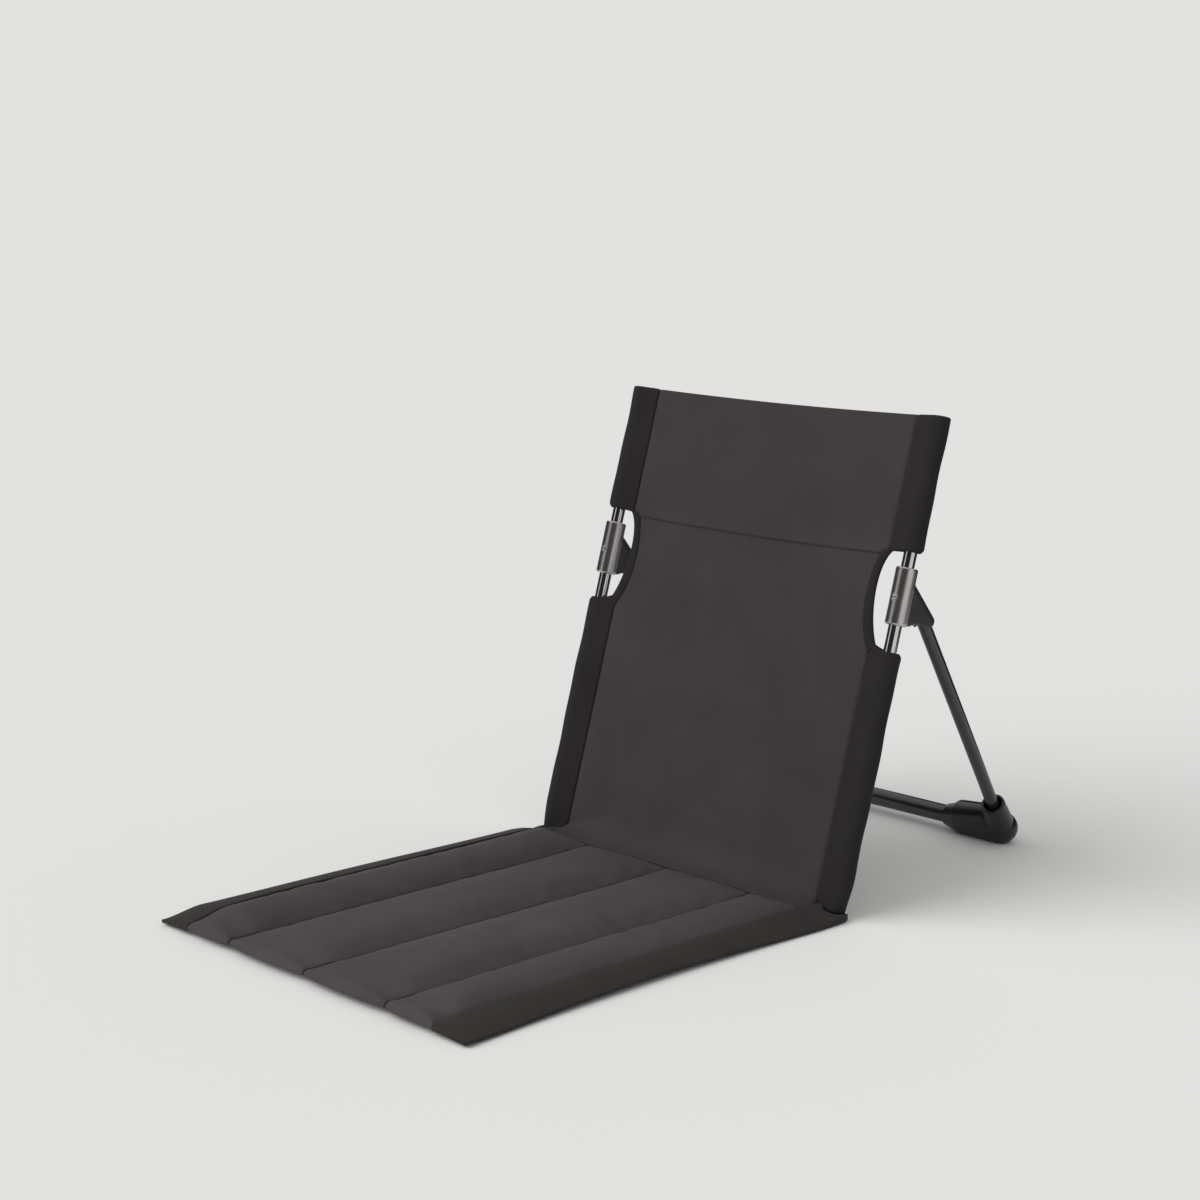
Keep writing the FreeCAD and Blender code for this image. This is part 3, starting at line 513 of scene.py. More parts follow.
def cloth_sheet(name, columns, rows, place, size, material):
    """A sheet on the back: a grid whose every point is put in place by a formula, then thickened."""
    bm = bmesh.new()
    bmesh.ops.create_grid(bm, x_segments=columns, y_segments=rows, size=0.5)
    thread = bm.verts.layers.float_vector.new("thread")
    for vert in bm.verts:
        across, along = vert.co.x + 0.5, vert.co.y + 0.5
        vert[thread] = (across * size[0], along * size[1], 0)
        vert.co = place(across, along)
    piece = new_piece(name, bm, material, "back")
    wall = piece.modifiers.new("cloth", "SOLIDIFY")
    wall.thickness = CLOTH
    wall.offset = 0
    return piece


# %% The panel's outline
PANEL_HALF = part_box("head_panel")[1].x
HEAD_SEAM = 350 * MM
SEAM_SAG = 2.4 * MM
SEAM_LAP = 3 * MM
# The binding's two edges, as control points (x, rise) in millimetres for the right-hand side.
BINDING_OUTER = ((182, 356), (161, 341), (167, 286), (183, 261))
BINDING_INNER = ((166, 353), (156, 330), (151, 284), (175, 253))


def binding_edges(share):
    """Where the binding's outer and inner edges are, at a share of its way down."""
    outer = bezier([(x * MM, rise * MM) for x, rise in BINDING_OUTER], share)
    inner = bezier([(x * MM, rise * MM) for x, rise in BINDING_INNER], share)
    return outer, inner


def panel_half_at(rise):
    """Half the panel's width: to the seam beside the pole, or to the middle of the binding."""
    low, high = 0.0, 1.0
    if not BINDING_INNER[-1][1] * MM < rise < BINDING_INNER[0][1] * MM:
        return PANEL_HALF
    for _ in range(20):
        share = (low + high) / 2
        outer, inner = binding_edges(share)
        if (outer.y + inner.y) / 2 > rise:
            low = share
        else:
            high = share
    return min(PANEL_HALF, (outer.x + inner.x) / 2)


print("panel half width", round(PANEL_HALF, 4), "and beside the bracket", round(panel_half_at(0.31), 4))

# %% Make the lower panel
TURN_IN_SHARE = 0.04
APRON_SHARE = 0.32
APRON_RISE = (42 * MM, 17 * MM)
APRON_BEND = (15 * MM, 10 * MM)
CREASE_DROP = 1.6 * MM
CORNER_REACH = 8.5 * MM
CREASE_SETBACK = 0.6 * MM
TURN_IN = 6 * MM
SLACK = 1.6 * MM
RIPPLE = 0.3 * MM
RIPPLE_TURNS = 9
RIPPLE_SWAY = 4
SWAY_LENGTH = 70 * MM
LOW_FOLD = 0.5 * MM
LOW_FOLD_LENGTH = 5.5 * MM
LOW_FOLD_SLANT = 5
LOW_FOLD_RISE = 45 * MM
LOW_FOLD_SPREAD = 22 * MM
TUCK_DEPTH = 0.7 * MM
TUCK_START = 0.965
LAP_DEPTH = 0.6 * MM
PANEL_GRID = (72, 96)


def seam_sag(side):
    """How far the head seam hangs below its ends."""
    return SEAM_SAG * (1 - side * side)


def slack(side, rise):
    """How far behind its flat place the stretched cloth lies: a broad belly and a few faint ripples."""
    belly = SLACK * (1 - side * side) * ease(rise / HEAD_SEAM)
    ripple = RIPPLE * math.sin(RIPPLE_TURNS * side + RIPPLE_SWAY * math.sin(rise / SWAY_LENGTH))
    low_fold = LOW_FOLD * math.sin(rise / LOW_FOLD_LENGTH + LOW_FOLD_SLANT * side)
    low_fold *= math.exp(-abs(rise - LOW_FOLD_RISE) / LOW_FOLD_SPREAD)
    return belly + (ripple + low_fold) * (1 - side ** 4)


def edge_tuck(side):
    """The cloth dips a little where it goes under the sleeve's seam."""
    return TUCK_DEPTH * ease((abs(side) - TUCK_START) / (1 - TUCK_START))


def lower_panel(across, along):
    """A point of the lower panel: the turn-in at the crease, then the apron, then the stretched sheet."""
    side = 2 * across - 1
    at_pole = side ** 6
    start = mix(*APRON_RISE, at_pole)
    corner = Vector((math.copysign(CORNER_REACH * at_pole, side), 0, 0))
    end = Vector((side * PANEL_HALF, crease.y, crease.z - CREASE_DROP * side * side))
    if along < TURN_IN_SHARE:
        return end + corner + Vector((0, CREASE_SETBACK, -TURN_IN * (1 - along / TURN_IN_SHARE)))
    if along < APRON_SHARE:
        share = (along - TURN_IN_SHARE) / (APRON_SHARE - TURN_IN_SHARE)
        bend = on_back(end.x, CLOTH_MIDDLE, mix(*APRON_BEND, at_pole))
        leave = on_back(end.x, CLOTH_MIDDLE + slack(side, start) + edge_tuck(side), start)
        return bezier([end, bend, leave], share) + corner * (1 - share)
    top = HEAD_SEAM + SEAM_LAP - seam_sag(side)
    rise = mix(start, top, (along - APRON_SHARE) / (1 - APRON_SHARE))
    under = LAP_DEPTH * ease((rise - HEAD_SEAM + seam_sag(side) + SEAM_LAP) / SEAM_LAP)
    setback = CLOTH_MIDDLE + slack(side, rise) + edge_tuck(side) + under
    return on_back(side * panel_half_at(rise), setback, rise)


PANEL_FLAT = (2 * PANEL_HALF, HEAD_SEAM + SEAM_LAP + TURN_IN)
back_panel = cloth_sheet("back_cloth", *PANEL_GRID, lower_panel, PANEL_FLAT, PANEL_CLOTH)
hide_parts("back_panel")
print("lower panel cut to", [round(side, 3) for side in PANEL_FLAT])

# %% [markdown]
# ## The head panel
# A second sheet closes the top of the back. Its lower edge is folded and lapped over the panel below,
# which shows as one fine line across the chair, and its top edge is turned over to the back and sewn
# down as a hem. The fold is real here: the grid runs up the front, over the edge and down behind.

# %% Make the head panel
HEAD_TOP = 486 * MM
HEAD_SAG = 2 * MM
HEM_FOLD = 1.0 * MM
HEM_DEPTH = 12 * MM
HEM_FRONT_SHARE = 0.78
HEM_FOLD_SHARE = 0.88
HEAD_PROUD = 0.9 * MM
PROUD_RUN = 4 * MM
TOP_TAUTNESS = 0.6
HEAD_GRID = (72, 60)


def head_panel(across, along):
    """A point of the head panel: up the front, over the top edge, then down the hem behind."""
    side = 2 * across - 1
    low = HEAD_SEAM - seam_sag(side)
    top = HEAD_TOP - HEAD_SAG * (1 - side * side) - HEM_FOLD
    if along < HEM_FRONT_SHARE:
        rise = mix(low, top, along / HEM_FRONT_SHARE)
        proud = HEAD_PROUD * math.exp(-(rise - low) / PROUD_RUN)
        setback = CLOTH_MIDDLE - proud
    elif along < HEM_FOLD_SHARE:
        turn = math.pi * (along - HEM_FRONT_SHARE) / (HEM_FOLD_SHARE - HEM_FRONT_SHARE)
        rise = top + HEM_FOLD * math.sin(turn)
        setback = CLOTH_MIDDLE + HEM_FOLD * (1 - math.cos(turn))
    else:
        rise = top - HEM_DEPTH * (along - HEM_FOLD_SHARE) / (1 - HEM_FOLD_SHARE)
        setback = CLOTH_MIDDLE + 2 * HEM_FOLD
    belly = slack(side, HEAD_SEAM) * (1 - TOP_TAUTNESS * ease((rise - low) / (top - low)))
    return on_back(side * panel_half_at(rise), setback + belly + edge_tuck(side), rise)


HEAD_FLAT = (2 * PANEL_HALF, HEAD_TOP - HEAD_SEAM + HEM_DEPTH)
head_sheet = cloth_sheet("head_cloth", *HEAD_GRID, head_panel, HEAD_FLAT, PANEL_CLOTH)
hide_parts("head_panel")
print("head panel cut to", [round(side, 3) for side in HEAD_FLAT])

# %% [markdown]
# ## The sleeves
# The poles run in four sleeves of darker cloth, sewn to the edges of the two panels. A sleeve's section
# is a drop: round over the pole and drawn in to the seam. A tube along a curve can't have such a section,
# so the sleeve is a skin of rings: the first ring is made, and each next one is extruded from it. The
# rings go up the outside, roll over the mouth and come down the inside, so the cloth has thickness.

# %% A skin of rings
def ring_skin(rings, ends):
    """A skin extruded from ring to ring. Its ends are joined to each other or each filled."""
    bm = bmesh.new()
    bmesh.ops.create_circle(bm, segments=len(rings[0]), radius=1)
    thread = bm.verts.layers.float_vector.new("thread")
    order = bm.verts.layers.int.new("order")
    bm.verts.ensure_lookup_table()
    for index, vert in enumerate(bm.verts):
        vert[order] = index
    first = bm.edges[:]
    verts, edges, along = bm.verts[:], first, 0.0
    for step, ring in enumerate(rings):
        if step:
            grown = bmesh.ops.extrude_edge_only(bm, edges=edges)["geom"]
            verts = [item for item in grown if isinstance(item, bmesh.types.BMVert)]
            made = set(verts)
            grown_edges = [item for item in grown if isinstance(item, bmesh.types.BMEdge)]
            edges = [edge for edge in grown_edges if made.issuperset(edge.verts)]
            along += (ring[0] - rings[step - 1][0]).length
        around = [0.0]
        for before, after in zip(ring, ring[1:]):
            around.append(around[-1] + (after - before).length)
        for vert in verts:
            vert.co = ring[vert[order]]
            vert[thread] = (around[vert[order]], along, 0)
    if ends == "joined":
        bmesh.ops.bridge_loops(bm, edges=first + edges)
    else:
        bmesh.ops.edgeloop_fill(bm, edges=first)
        bmesh.ops.edgeloop_fill(bm, edges=edges)
    bm.verts.layers.int.remove(order)
    return bm


# %% The sleeve's section
SLEEVE_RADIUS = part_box("right_lower_sleeve")[1].x - POLE_X
SEAM_REACH = POLE_X - PANEL_HALF
SEAM_HALF_THICKNESS = 1.0 * MM
SLEEVE_WALL = 1.3 * MM
SLEEVE_SLACK = 4 * MM
SEAM_THINNING = 0.6
FLAT_STEPS = 10
ROUND_STEPS = 30
LONG_WAVE = 21 * MM
SHORT_WAVE = 9 * MM
SHORT_WAVE_SHARE = 0.7
SHORT_WAVE_SEED = 2.1
WAVE_SWELL = 0.06
WAVE_SETBACK = 0.02
MOUTH_FLARE = 0.07
FLARE_RUN = 7 * MM
TILT_RUN = 45 * MM
MOUTH_GRIP = 0.6
GRIP_RUN = 2.5 * MM
GROUND_RUN = 40 * MM
# Swell and room start this far inside the pole's middle and grow outward over this run.
SWELL_START, SWELL_RUN = 4 * MM, 12 * MM
ROOM_START, ROOM_RUN = 3 * MM, 9 * MM


def drop_outline(inset):
    """The section from the seam's front round the pole to the seam's back, as (outward, setback)."""
    radius = SLEEVE_RADIUS - inset
    reach = SEAM_REACH - 2 * inset
    half = SEAM_HALF_THICKNESS - inset * SEAM_THINNING
    tangent = math.acos(radius / reach)
    leave = Vector((-radius * math.cos(tangent), -radius * math.sin(tangent)))
    front = Vector((-reach, CLOTH_MIDDLE - half))
    rear = Vector((-reach, CLOTH_MIDDLE + half))
    flat = [front.lerp(leave, step / FLAT_STEPS) for step in range(FLAT_STEPS)]
    turns = [mix(tangent, 2 * math.pi - tangent, step / ROUND_STEPS) for step in range(ROUND_STEPS + 1)]
    arc = [Vector((-radius * math.cos(turn), -radius * math.sin(turn))) for turn in turns]
    back = [arc[-1].lerp(rear, step / FLAT_STEPS) for step in range(1, FLAT_STEPS + 1)]
    return flat + arc + back


def sleeve_ring(side, rise, inset, mouth, tilt, seed):
    """One ring of a sleeve: slack cloth waves along the pole, and the mouth slopes to the seam."""
    ring = []
    from_mouth = abs(rise - mouth)
    flare = MOUTH_FLARE * math.exp(-from_mouth / FLARE_RUN)
    loose = math.sin(rise / LONG_WAVE + seed)
    loose += SHORT_WAVE_SHARE * math.sin(rise / SHORT_WAVE + SHORT_WAVE_SEED * seed)
    slack_here = SLEEVE_SLACK * (1 - MOUTH_GRIP * math.exp(-(from_mouth / GRIP_RUN) ** 2))
    slack_here *= ease(rise / GROUND_RUN)
    for outward, setback in drop_outline(inset):
        swell = 1 + (WAVE_SWELL * loose + flare) * ease((outward + SWELL_START) / SWELL_RUN)
        to_seam = min(1.0, max(0.0, -outward / SEAM_REACH))
        lift = tilt * to_seam ** 2 * ease(1 - from_mouth / TILT_RUN)
        room = slack_here * ease((outward + ROOM_START) / ROOM_RUN)
        x = side * (POLE_X + outward * swell + room)
        ring.append(on_back(x, setback * (1 + WAVE_SETBACK * loose), rise + lift))
    return ring


print("sleeve radius", round(SLEEVE_RADIUS, 4), "seam reach", round(SEAM_REACH, 4))

# %% Make the four sleeves
RING_STEP = 6 * MM
# Rings of a rolled mouth and of the roof's edge: how far each lies from the end and inside the outline.
LIP = ((4.0 * MM, 0.0), (2.2 * MM, 0.1 * MM), (1.0 * MM, 0.4 * MM), (0.3 * MM, 0.8 * MM),
       (0.0, 1.15 * MM), (0.2 * MM, 1.45 * MM), (0.9 * MM, 1.6 * MM), (2.5 * MM, SLEEVE_WALL))
ROOF_EDGE = ((0.9 * MM, 0.25 * MM), (0.2 * MM, 0.8 * MM), (0.0, 1.4 * MM))
LOWER_SLEEVE = (6.5 * MM, 258 * MM)
UPPER_SLEEVE = (355 * MM, 487 * MM)
LOWER_TILT = 8 * MM
UPPER_TILT = -2 * MM
CROWN_DROP = 2.4 * MM
# The start of the waves in each sleeve, so that no two are alike.
LOWER_SEEDS = {"left": 0.0, "right": 1.3}
UPPER_SEEDS = {"left": 2.2, "right": 3.2}


def steps_between(low, high):
    """The rises of the rings between two ends."""
    count = max(2, round((high - low) / RING_STEP))
    return [mix(low, high, step / count) for step in range(1, count)]


def open_sleeve(side, seed):
    """The lower sleeve: up the outside, over the mouth, down the inside and round the lower mouth."""
    low, high = LOWER_SLEEVE
    way = [(rise, 0.0) for rise in steps_between(low, high)]
    way += [(high - drop, inset) for drop, inset in LIP]
    way += [(rise, SLEEVE_WALL) for rise in reversed(steps_between(low, high))]
    way += [(low + drop, inset) for drop, inset in reversed(LIP)]
    rings = [sleeve_ring(side, rise, inset, high, LOWER_TILT, seed) for rise, inset in way]
    return ring_skin(rings, "joined")


def closed_sleeve(side, seed):
    """The upper sleeve: closed over the pole's top, and open at its mouth above the bracket."""
    low, high = UPPER_SLEEVE
    roof = high - CROWN_DROP
    way = [(roof - SLEEVE_WALL, SLEEVE_WALL)]
    way += [(rise, SLEEVE_WALL) for rise in reversed(steps_between(low, roof))]
    way += [(low + drop, inset) for drop, inset in reversed(LIP)]
    way += [(rise, 0.0) for rise in steps_between(low, roof)]
    way += [(roof, 0.0)]
    way += [(high - drop, inset) for drop, inset in ROOF_EDGE]
    rings = [sleeve_ring(side, rise, inset, low, UPPER_TILT, seed) for rise, inset in way]
    return ring_skin(rings, "filled")


sleeves = []
for hand, side in SIDES.items():
    lower = new_piece(f"{hand}_lower_sleeve_cloth", open_sleeve(side, LOWER_SEEDS[hand]), SLEEVE_CLOTH,
                      "back")
    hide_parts(f"{hand}_lower_sleeve")
    upper = new_piece(f"{hand}_upper_sleeve_cloth", closed_sleeve(side, UPPER_SEEDS[hand]), SLEEVE_CLOTH,
                      "back")
    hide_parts(f"{hand}_upper_sleeve")
    sleeves += [lower, upper]
print("sleeves:", [len(sleeve.data.polygons) for sleeve in sleeves], "faces")

# %% [markdown]
# ## The bindings of the cut-outs
# Beside each bracket the panel is cut away in a shallow bow, and a soft band is folded over the raw edge.
# The band is a padded strip: thick in the middle, thin at its two edges, and tucked into the mouths of
# the sleeves at its ends. It is a skin of rings too, with a flat oval section along the bow.

# %% Make the bindings
BINDING_HALF_THICKNESS = 2.1 * MM
BINDING_RINGS = 48
BINDING_POINTS = 24
# Below 1, the flat oval of the section is filled out at its edges.
BINDING_FULLNESS = 0.7


def binding_ring(side, share):
    """One section of the binding, from its outer edge over the front and back behind."""
    outer, inner = binding_edges(share)
    ring = []
    for step in range(BINDING_POINTS):
        turn = 2 * math.pi * step / BINDING_POINTS
        across = 0.5 - 0.5 * math.cos(turn)
        lift = math.copysign(abs(math.sin(turn)) ** BINDING_FULLNESS, math.sin(turn))
        x, rise = outer.lerp(inner, across)
        setback = CLOTH_MIDDLE - BINDING_HALF_THICKNESS * lift
        ring.append(on_back(side * x, setback, rise))
    return ring


for hand, side in SIDES.items():
    rings = [binding_ring(side, step / (BINDING_RINGS - 1)) for step in range(BINDING_RINGS)]
    binding = new_piece(f"{hand}_binding_cloth", ring_skin(rings, "filled"), SLEEVE_CLOTH,
                        "back")
    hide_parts(f"{hand}_cutout_binding")

# %% [markdown]
# ## The quilted mat
# The mat is two sheets of cloth with foam between them, sewn through along three seams, so that it swells
# into four channels. Such a pad is best made as it is in life: a flat case is sewn, its seams are held
# still, and pressure inside fills it. The case is built a little too slack, the cloth simulation fills
# it, and each point's movement is held to a few millimetres so that the mat keeps its measured size.
# The real mat's left edge has curled up a little off the ground, so a last formula lifts that edge.

# %% A closed case from two grids
GRIDS_APART = 0.1


def pillow(columns, rows, top, bottom, size):
    """Two grids joined round their rims. Each point is put in place by the formula for its side."""
    bm = bmesh.new()
    bmesh.ops.create_grid(bm, x_segments=columns, y_segments=rows, size=0.5)
    thread = bm.verts.layers.float_vector.new("thread")
    for vert in bm.verts:
        vert[thread] = (vert.co.x + 0.5, vert.co.y + 0.5, 1)
    copied = bmesh.ops.duplicate(bm, geom=bm.verts[:] + bm.edges[:] + bm.faces[:])["geom"]
    under = [item for item in copied if isinstance(item, bmesh.types.BMVert)]
    for vert in under:
        vert[thread] = (vert.co.x + 0.5, vert.co.y + 0.5, 0)
    bmesh.ops.translate(bm, verts=under, vec=(0, 0, -GRIDS_APART))
    bmesh.ops.bridge_loops(bm, edges=[edge for edge in bm.edges if edge.is_boundary])
    for vert in bm.verts:
        across, along, level = vert[thread]
        vert.co = top(across, along) if level > 0.5 else bottom(across, along)
        vert[thread] = (across * size[0], along * size[1], 0)
    return bm


# %% The mat's measures
mat_low, mat_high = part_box("seat_cover")
SEAM_X = (mat_low.x, -114 * MM, 0.0, 114 * MM, mat_high.x)
SEAM_Z = (13 * MM, 12 * MM, 12 * MM, 12 * MM, 13 * MM)
CROWN = (4.0 * MM, 5.5 * MM, 5.5 * MM, 4.0 * MM)
GROOVE = 2.4 * MM
GROOVE_WIDTH = 0.9 * MM
DITCH_STEP = 0.6 * MM
DITCH_COLUMNS = 2
CHANNEL_COLUMNS = (18, 26, 26, 18)
MAT_COLUMNS = sum(CHANNEL_COLUMNS)
MAT_ROWS = 84
ROW_CROWDING = 1.5
COLUMN_CROWDING = 0.6
FRONT_REACH = 4 * MM
FRONT_BOW = 3 * MM
FRONT_PINCH = 3 * MM
FRONT_LIFT = 5 * MM
CORNER_LIFT_SHARE = 0.25
LIFT_RUN = 55 * MM
PINCH_RUN = 4 * MM
BEAD_HEIGHT = (10.5 * MM, 16.5 * MM)
BEAD_DEPTH = (3 * MM, 8 * MM)
BEAD_DIP = 3.6 * MM
DIP_LENGTH = 34 * MM
FRONT_SLOPE = 110 * MM
REAR_ROLL = 30 * MM
REAR_HEIGHT = crease.z - 0.4 * MM
CREASE_GAP = 0.3 * MM
BORDER_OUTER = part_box("right_seat_border")[1].x
GROUND_GAP = 0.5 * MM
UNDER_TUCK = 0.5
FRONT_UNDERCUT = 1.5 * MM


def channel_place(across):
    """The channel that a share of the mat's width lies in, and the share of that channel's width."""
    column = across * MAT_COLUMNS
    for channel, columns in enumerate(CHANNEL_COLUMNS):
        if column <= columns + 1e-6:
            width = SEAM_X[channel + 1] - SEAM_X[channel]
            ditch = DITCH_STEP * DITCH_COLUMNS / width
            inner = (column - DITCH_COLUMNS) / (columns - 2 * DITCH_COLUMNS)
            if inner < 0:
                return channel, column * DITCH_STEP / width
            if inner > 1:
                return channel, 1 - (columns - column) * DITCH_STEP / width
            crowded = 0.5 - 0.5 * math.cos(math.pi * inner)
            return channel, mix(ditch, 1 - ditch, mix(inner, crowded, COLUMN_CROWDING))
        column -= columns


def channel_crown(share):
    """How full a channel is across its width: 1 in its middle and 0 at its seams."""
    return 1 - abs(2 * share - 1) ** 3


def seam_groove(channel, share):
    """How deep the stitches pull the cloth in beside a seam."""
    width = SEAM_X[channel + 1] - SEAM_X[channel]
    return GROOVE * math.exp(-min(share, 1 - share) * width / GROOVE_WIDTH)


def front_line(x):
    """The mat's front edge bows forward a little between its corners."""
    return mat_low.y - FRONT_REACH - FRONT_BOW * (1 - (x / BORDER_OUTER) ** 2)


def underside(x, run):
    """The height of the mat's underside: its front edge curls up off the ground, least at the corners."""
    share = mix(1.0, CORNER_LIFT_SHARE, (x / BORDER_OUTER) ** 4)
    return GROUND_GAP + FRONT_LIFT * share * (1 - ease(run / LIFT_RUN))


def front_height(run, full, crown, lip):
    """The height at a run from the front edge: a rolled bead, a dip, then up to the full height."""
    bead = mix(*BEAD_HEIGHT, crown)
    depth = mix(*BEAD_DEPTH, crown)
    behind = run - depth
    if behind < 0:
        return mix(lip, bead, math.sqrt(1 - (behind / depth) ** 2))
    dip = BEAD_DIP * crown * math.sin(math.pi * min(1.0, behind / DIP_LENGTH))
    return mix(bead, full, ease(behind / FRONT_SLOPE)) - dip


def mat_top(across, along):
    channel, share = channel_place(across)
    x = mix(SEAM_X[channel], SEAM_X[channel + 1], share)
    crown = channel_crown(share)
    front = front_line(x) + FRONT_PINCH * (1 - crown) * (1 - (x / mat_high.x) ** 8)
    rear = crease.y - CREASE_GAP
    run = along ** ROW_CROWDING * (rear - front)
    groove = seam_groove(channel, share) * ease(run / PINCH_RUN)
    full = mix(SEAM_Z[channel], SEAM_Z[channel + 1], share) + CROWN[channel] * crown
    z = front_height(run, full, crown, underside(x, 0)) - groove
    left = rear - front - run
    if left < REAR_ROLL:
        z = mix(REAR_HEIGHT, full - groove, math.sin(math.pi / 2 * left / REAR_ROLL))
    return Vector((x, front + run, z))


def mat_bottom(across, along):
    point = mat_top(across, along)
    run = point.y - front_line(point.x)
    tuck = UNDER_TUCK * seam_groove(*channel_place(across)) * ease(run / PINCH_RUN)
    y = point.y + FRONT_UNDERCUT * (1 - along)
    return Vector((point.x, y, underside(point.x, run) + tuck))


MAT_FLAT = (mat_high.x - mat_low.x, crease.y - mat_low.y)
mat = new_piece("mat_quilt", pillow(MAT_COLUMNS, MAT_ROWS, mat_top, mat_bottom, MAT_FLAT), QUILT_CLOTH,
                "seat")
print("mat case:", len(mat.data.vertices), "points")

# %% Fill the case
MOST_SWELL = 2.6 * MM
UNDERSIDE_TOP = 7 * MM
STIFF_FRONT = 30 * MM
FILL_FRAMES = 20
ON_SEAM = 0.2 * MM
HELD_FRONT = 5 * MM
HELD_REAR = 2 * MM


def seam_verts(piece):
    """The points that sewing holds: the seams, the rim and the underside."""
    held = []
    for vert in piece.data.vertices:
        on_seam = any(abs(vert.co.x - seam) < ON_SEAM for seam in SEAM_X)
        at_front = vert.co.y < front_line(vert.co.x) + HELD_FRONT
        at_rear = vert.co.y > crease.y - HELD_REAR
        if on_seam or at_front or at_rear or vert.co.z < UNDERSIDE_TOP:
            held.append(vert.index)
    return held


def fill_with_foam(piece):
    """Swells the piece with cloth pressure, and keeps each point's movement within its limit."""
    group = piece.vertex_groups.new(name="sewn")
    group.add(seam_verts(piece), 1.0, "REPLACE")
    rest = [vert.co.copy() for vert in piece.data.vertices]
    cloth = piece.modifiers.new("filling", "CLOTH")
    cloth.settings.quality = 6
    cloth.settings.mass = 0.2
    cloth.settings.tension_stiffness = 20
    cloth.settings.compression_stiffness = 12
    cloth.settings.bending_stiffness = 0.8
    cloth.settings.shrink_min = -0.004
    cloth.settings.use_pressure = True
    cloth.settings.uniform_pressure_force = 4
    cloth.settings.vertex_group_mass = "sewn"
    cloth.settings.effector_weights.gravity = 0
    cloth.collision_settings.use_collision = False
    cloth.point_cache.frame_start = 1
    cloth.point_cache.frame_end = FILL_FRAMES
    for step in range(1, FILL_FRAMES + 1):
        scene.frame_set(step)
    filled = piece.evaluated_get(bpy.context.evaluated_depsgraph_get()).data
    moves = [after.co - before for after, before in zip(filled.vertices, rest)]
    piece.modifiers.remove(cloth)
    scene.frame_set(1)
    for vert, start, move in zip(piece.data.vertices, rest, moves):
        reach = move.length
        free = ease((start.y - front_line(start.x) - STIFF_FRONT) / STIFF_FRONT)
        if reach > 0:
            vert.co = start + move * (free * MOST_SWELL * math.tanh(reach / MOST_SWELL) / reach)
    piece.vertex_groups.remove(group)
    return max(move.length for move in moves)


print("largest move before the limit:", round(fill_with_foam(mat) / MM, 2), "mm")

# %% Curl the left edge
LEFT_CURL = 7.5 * MM
CURL_WIDTH = 60 * MM
CURL_FRONT_RUN = 45 * MM
CURL_REAR_RUN = 40 * MM
CURL_PAST_CREASE = 10 * MM


def left_curl(x, y):
    """How far the mat's left edge, beyond its last seam, has curled up off the ground."""
    across = ease((SEAM_X[1] - x) / CURL_WIDTH)
    from_front = ease((y - front_line(x)) / CURL_FRONT_RUN)
    from_rear = ease((crease.y + CURL_PAST_CREASE - y) / CURL_REAR_RUN)
    return LEFT_CURL * across * from_front * from_rear


for vert in mat.data.vertices:
    vert.co.z += left_curl(vert.co.x, vert.co.y)
print("left edge curled up by", round(LEFT_CURL / MM, 1), "mm")

# %% Keep the seams sharp and round the rest
# How far from each seam the faces are painted dark: the thread, and painted shade in the ditch.
SHADED_DITCH_HALF = 1.0 * MM


def crease_seams(piece):
    """Sewn lines stay sharp when the piece is subdivided."""
    attribute = piece.data.attributes.new("crease_edge", "FLOAT", "EDGE")
    sharp = 0
    for edge in piece.data.edges:
        ends = [piece.data.vertices[index].co for index in edge.vertices]
        if any(max(abs(end.x - seam) for end in ends) < ON_SEAM for seam in SEAM_X[1:-1]):
            attribute.data[edge.index].value = 1.0
            sharp += 1
    return sharp


def round_off(piece):
    """One level of subdivision, the same in the view and in the render."""
    smooth = piece.modifiers.new("round", "SUBSURF")
    smooth.levels = 1
    smooth.render_levels = 1


def shade_seam_ditches(piece):
    """The narrow faces in the ditch of each seam are painted dark: partly the sewing thread, mostly painted shade
    in the groove.
    """
    piece.data.materials.append(THREAD_AND_DITCH_SHADE)
    sewn = 0
    for face in piece.data.polygons:
        if min(abs(face.center.x - seam) for seam in SEAM_X[1:-1]) < SHADED_DITCH_HALF:
            face.material_index = 1
            sewn += 1
    return sewn


print("sharp seam edges:", crease_seams(mat), "ditch faces:", shade_seam_ditches(mat))
round_off(mat)
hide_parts("seat_cover", "seat_foam_1", "seat_foam_2", "seat_foam_3", "seat_foam_4")

# %% [markdown]
# ## The mat's borders
# A strip of darker cloth edges the mat on each side. It slopes from the seam to the ground, is drawn in
# along its middle and ends in a blunt corner at the front. Its section changes all the way, so it is a
# skin of rings again, from front to rear.

# %% Make the borders
BORDER_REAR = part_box("right_seat_border")[1].y
BORDER_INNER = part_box("right_seat_border")[0].x
BORDER_WAIST = 203 * MM
BORDER_REAR_OUTER = 216 * MM
BORDER_RINGS = 70
BORDER_TOP_STEPS = 14
BORDER_EDGE_STEPS = 8
RING_CROWDING = 1.25
EDGE_RADIUS = 1.7 * MM
BLUNT_SHARE = 0.02
SEAM_COVER = 0.3 * MM
BORDER_LIFT = 3.2 * MM
LIFT_POWER = 1.5
BORDER_SWELL = 1.6 * MM


def border_outer(share):
    """The outer edge, drawn in between the front corner and the rear."""
    return bezier([(BORDER_OUTER, 0), (BORDER_WAIST, 0), (BORDER_REAR_OUTER, 0)], share).x


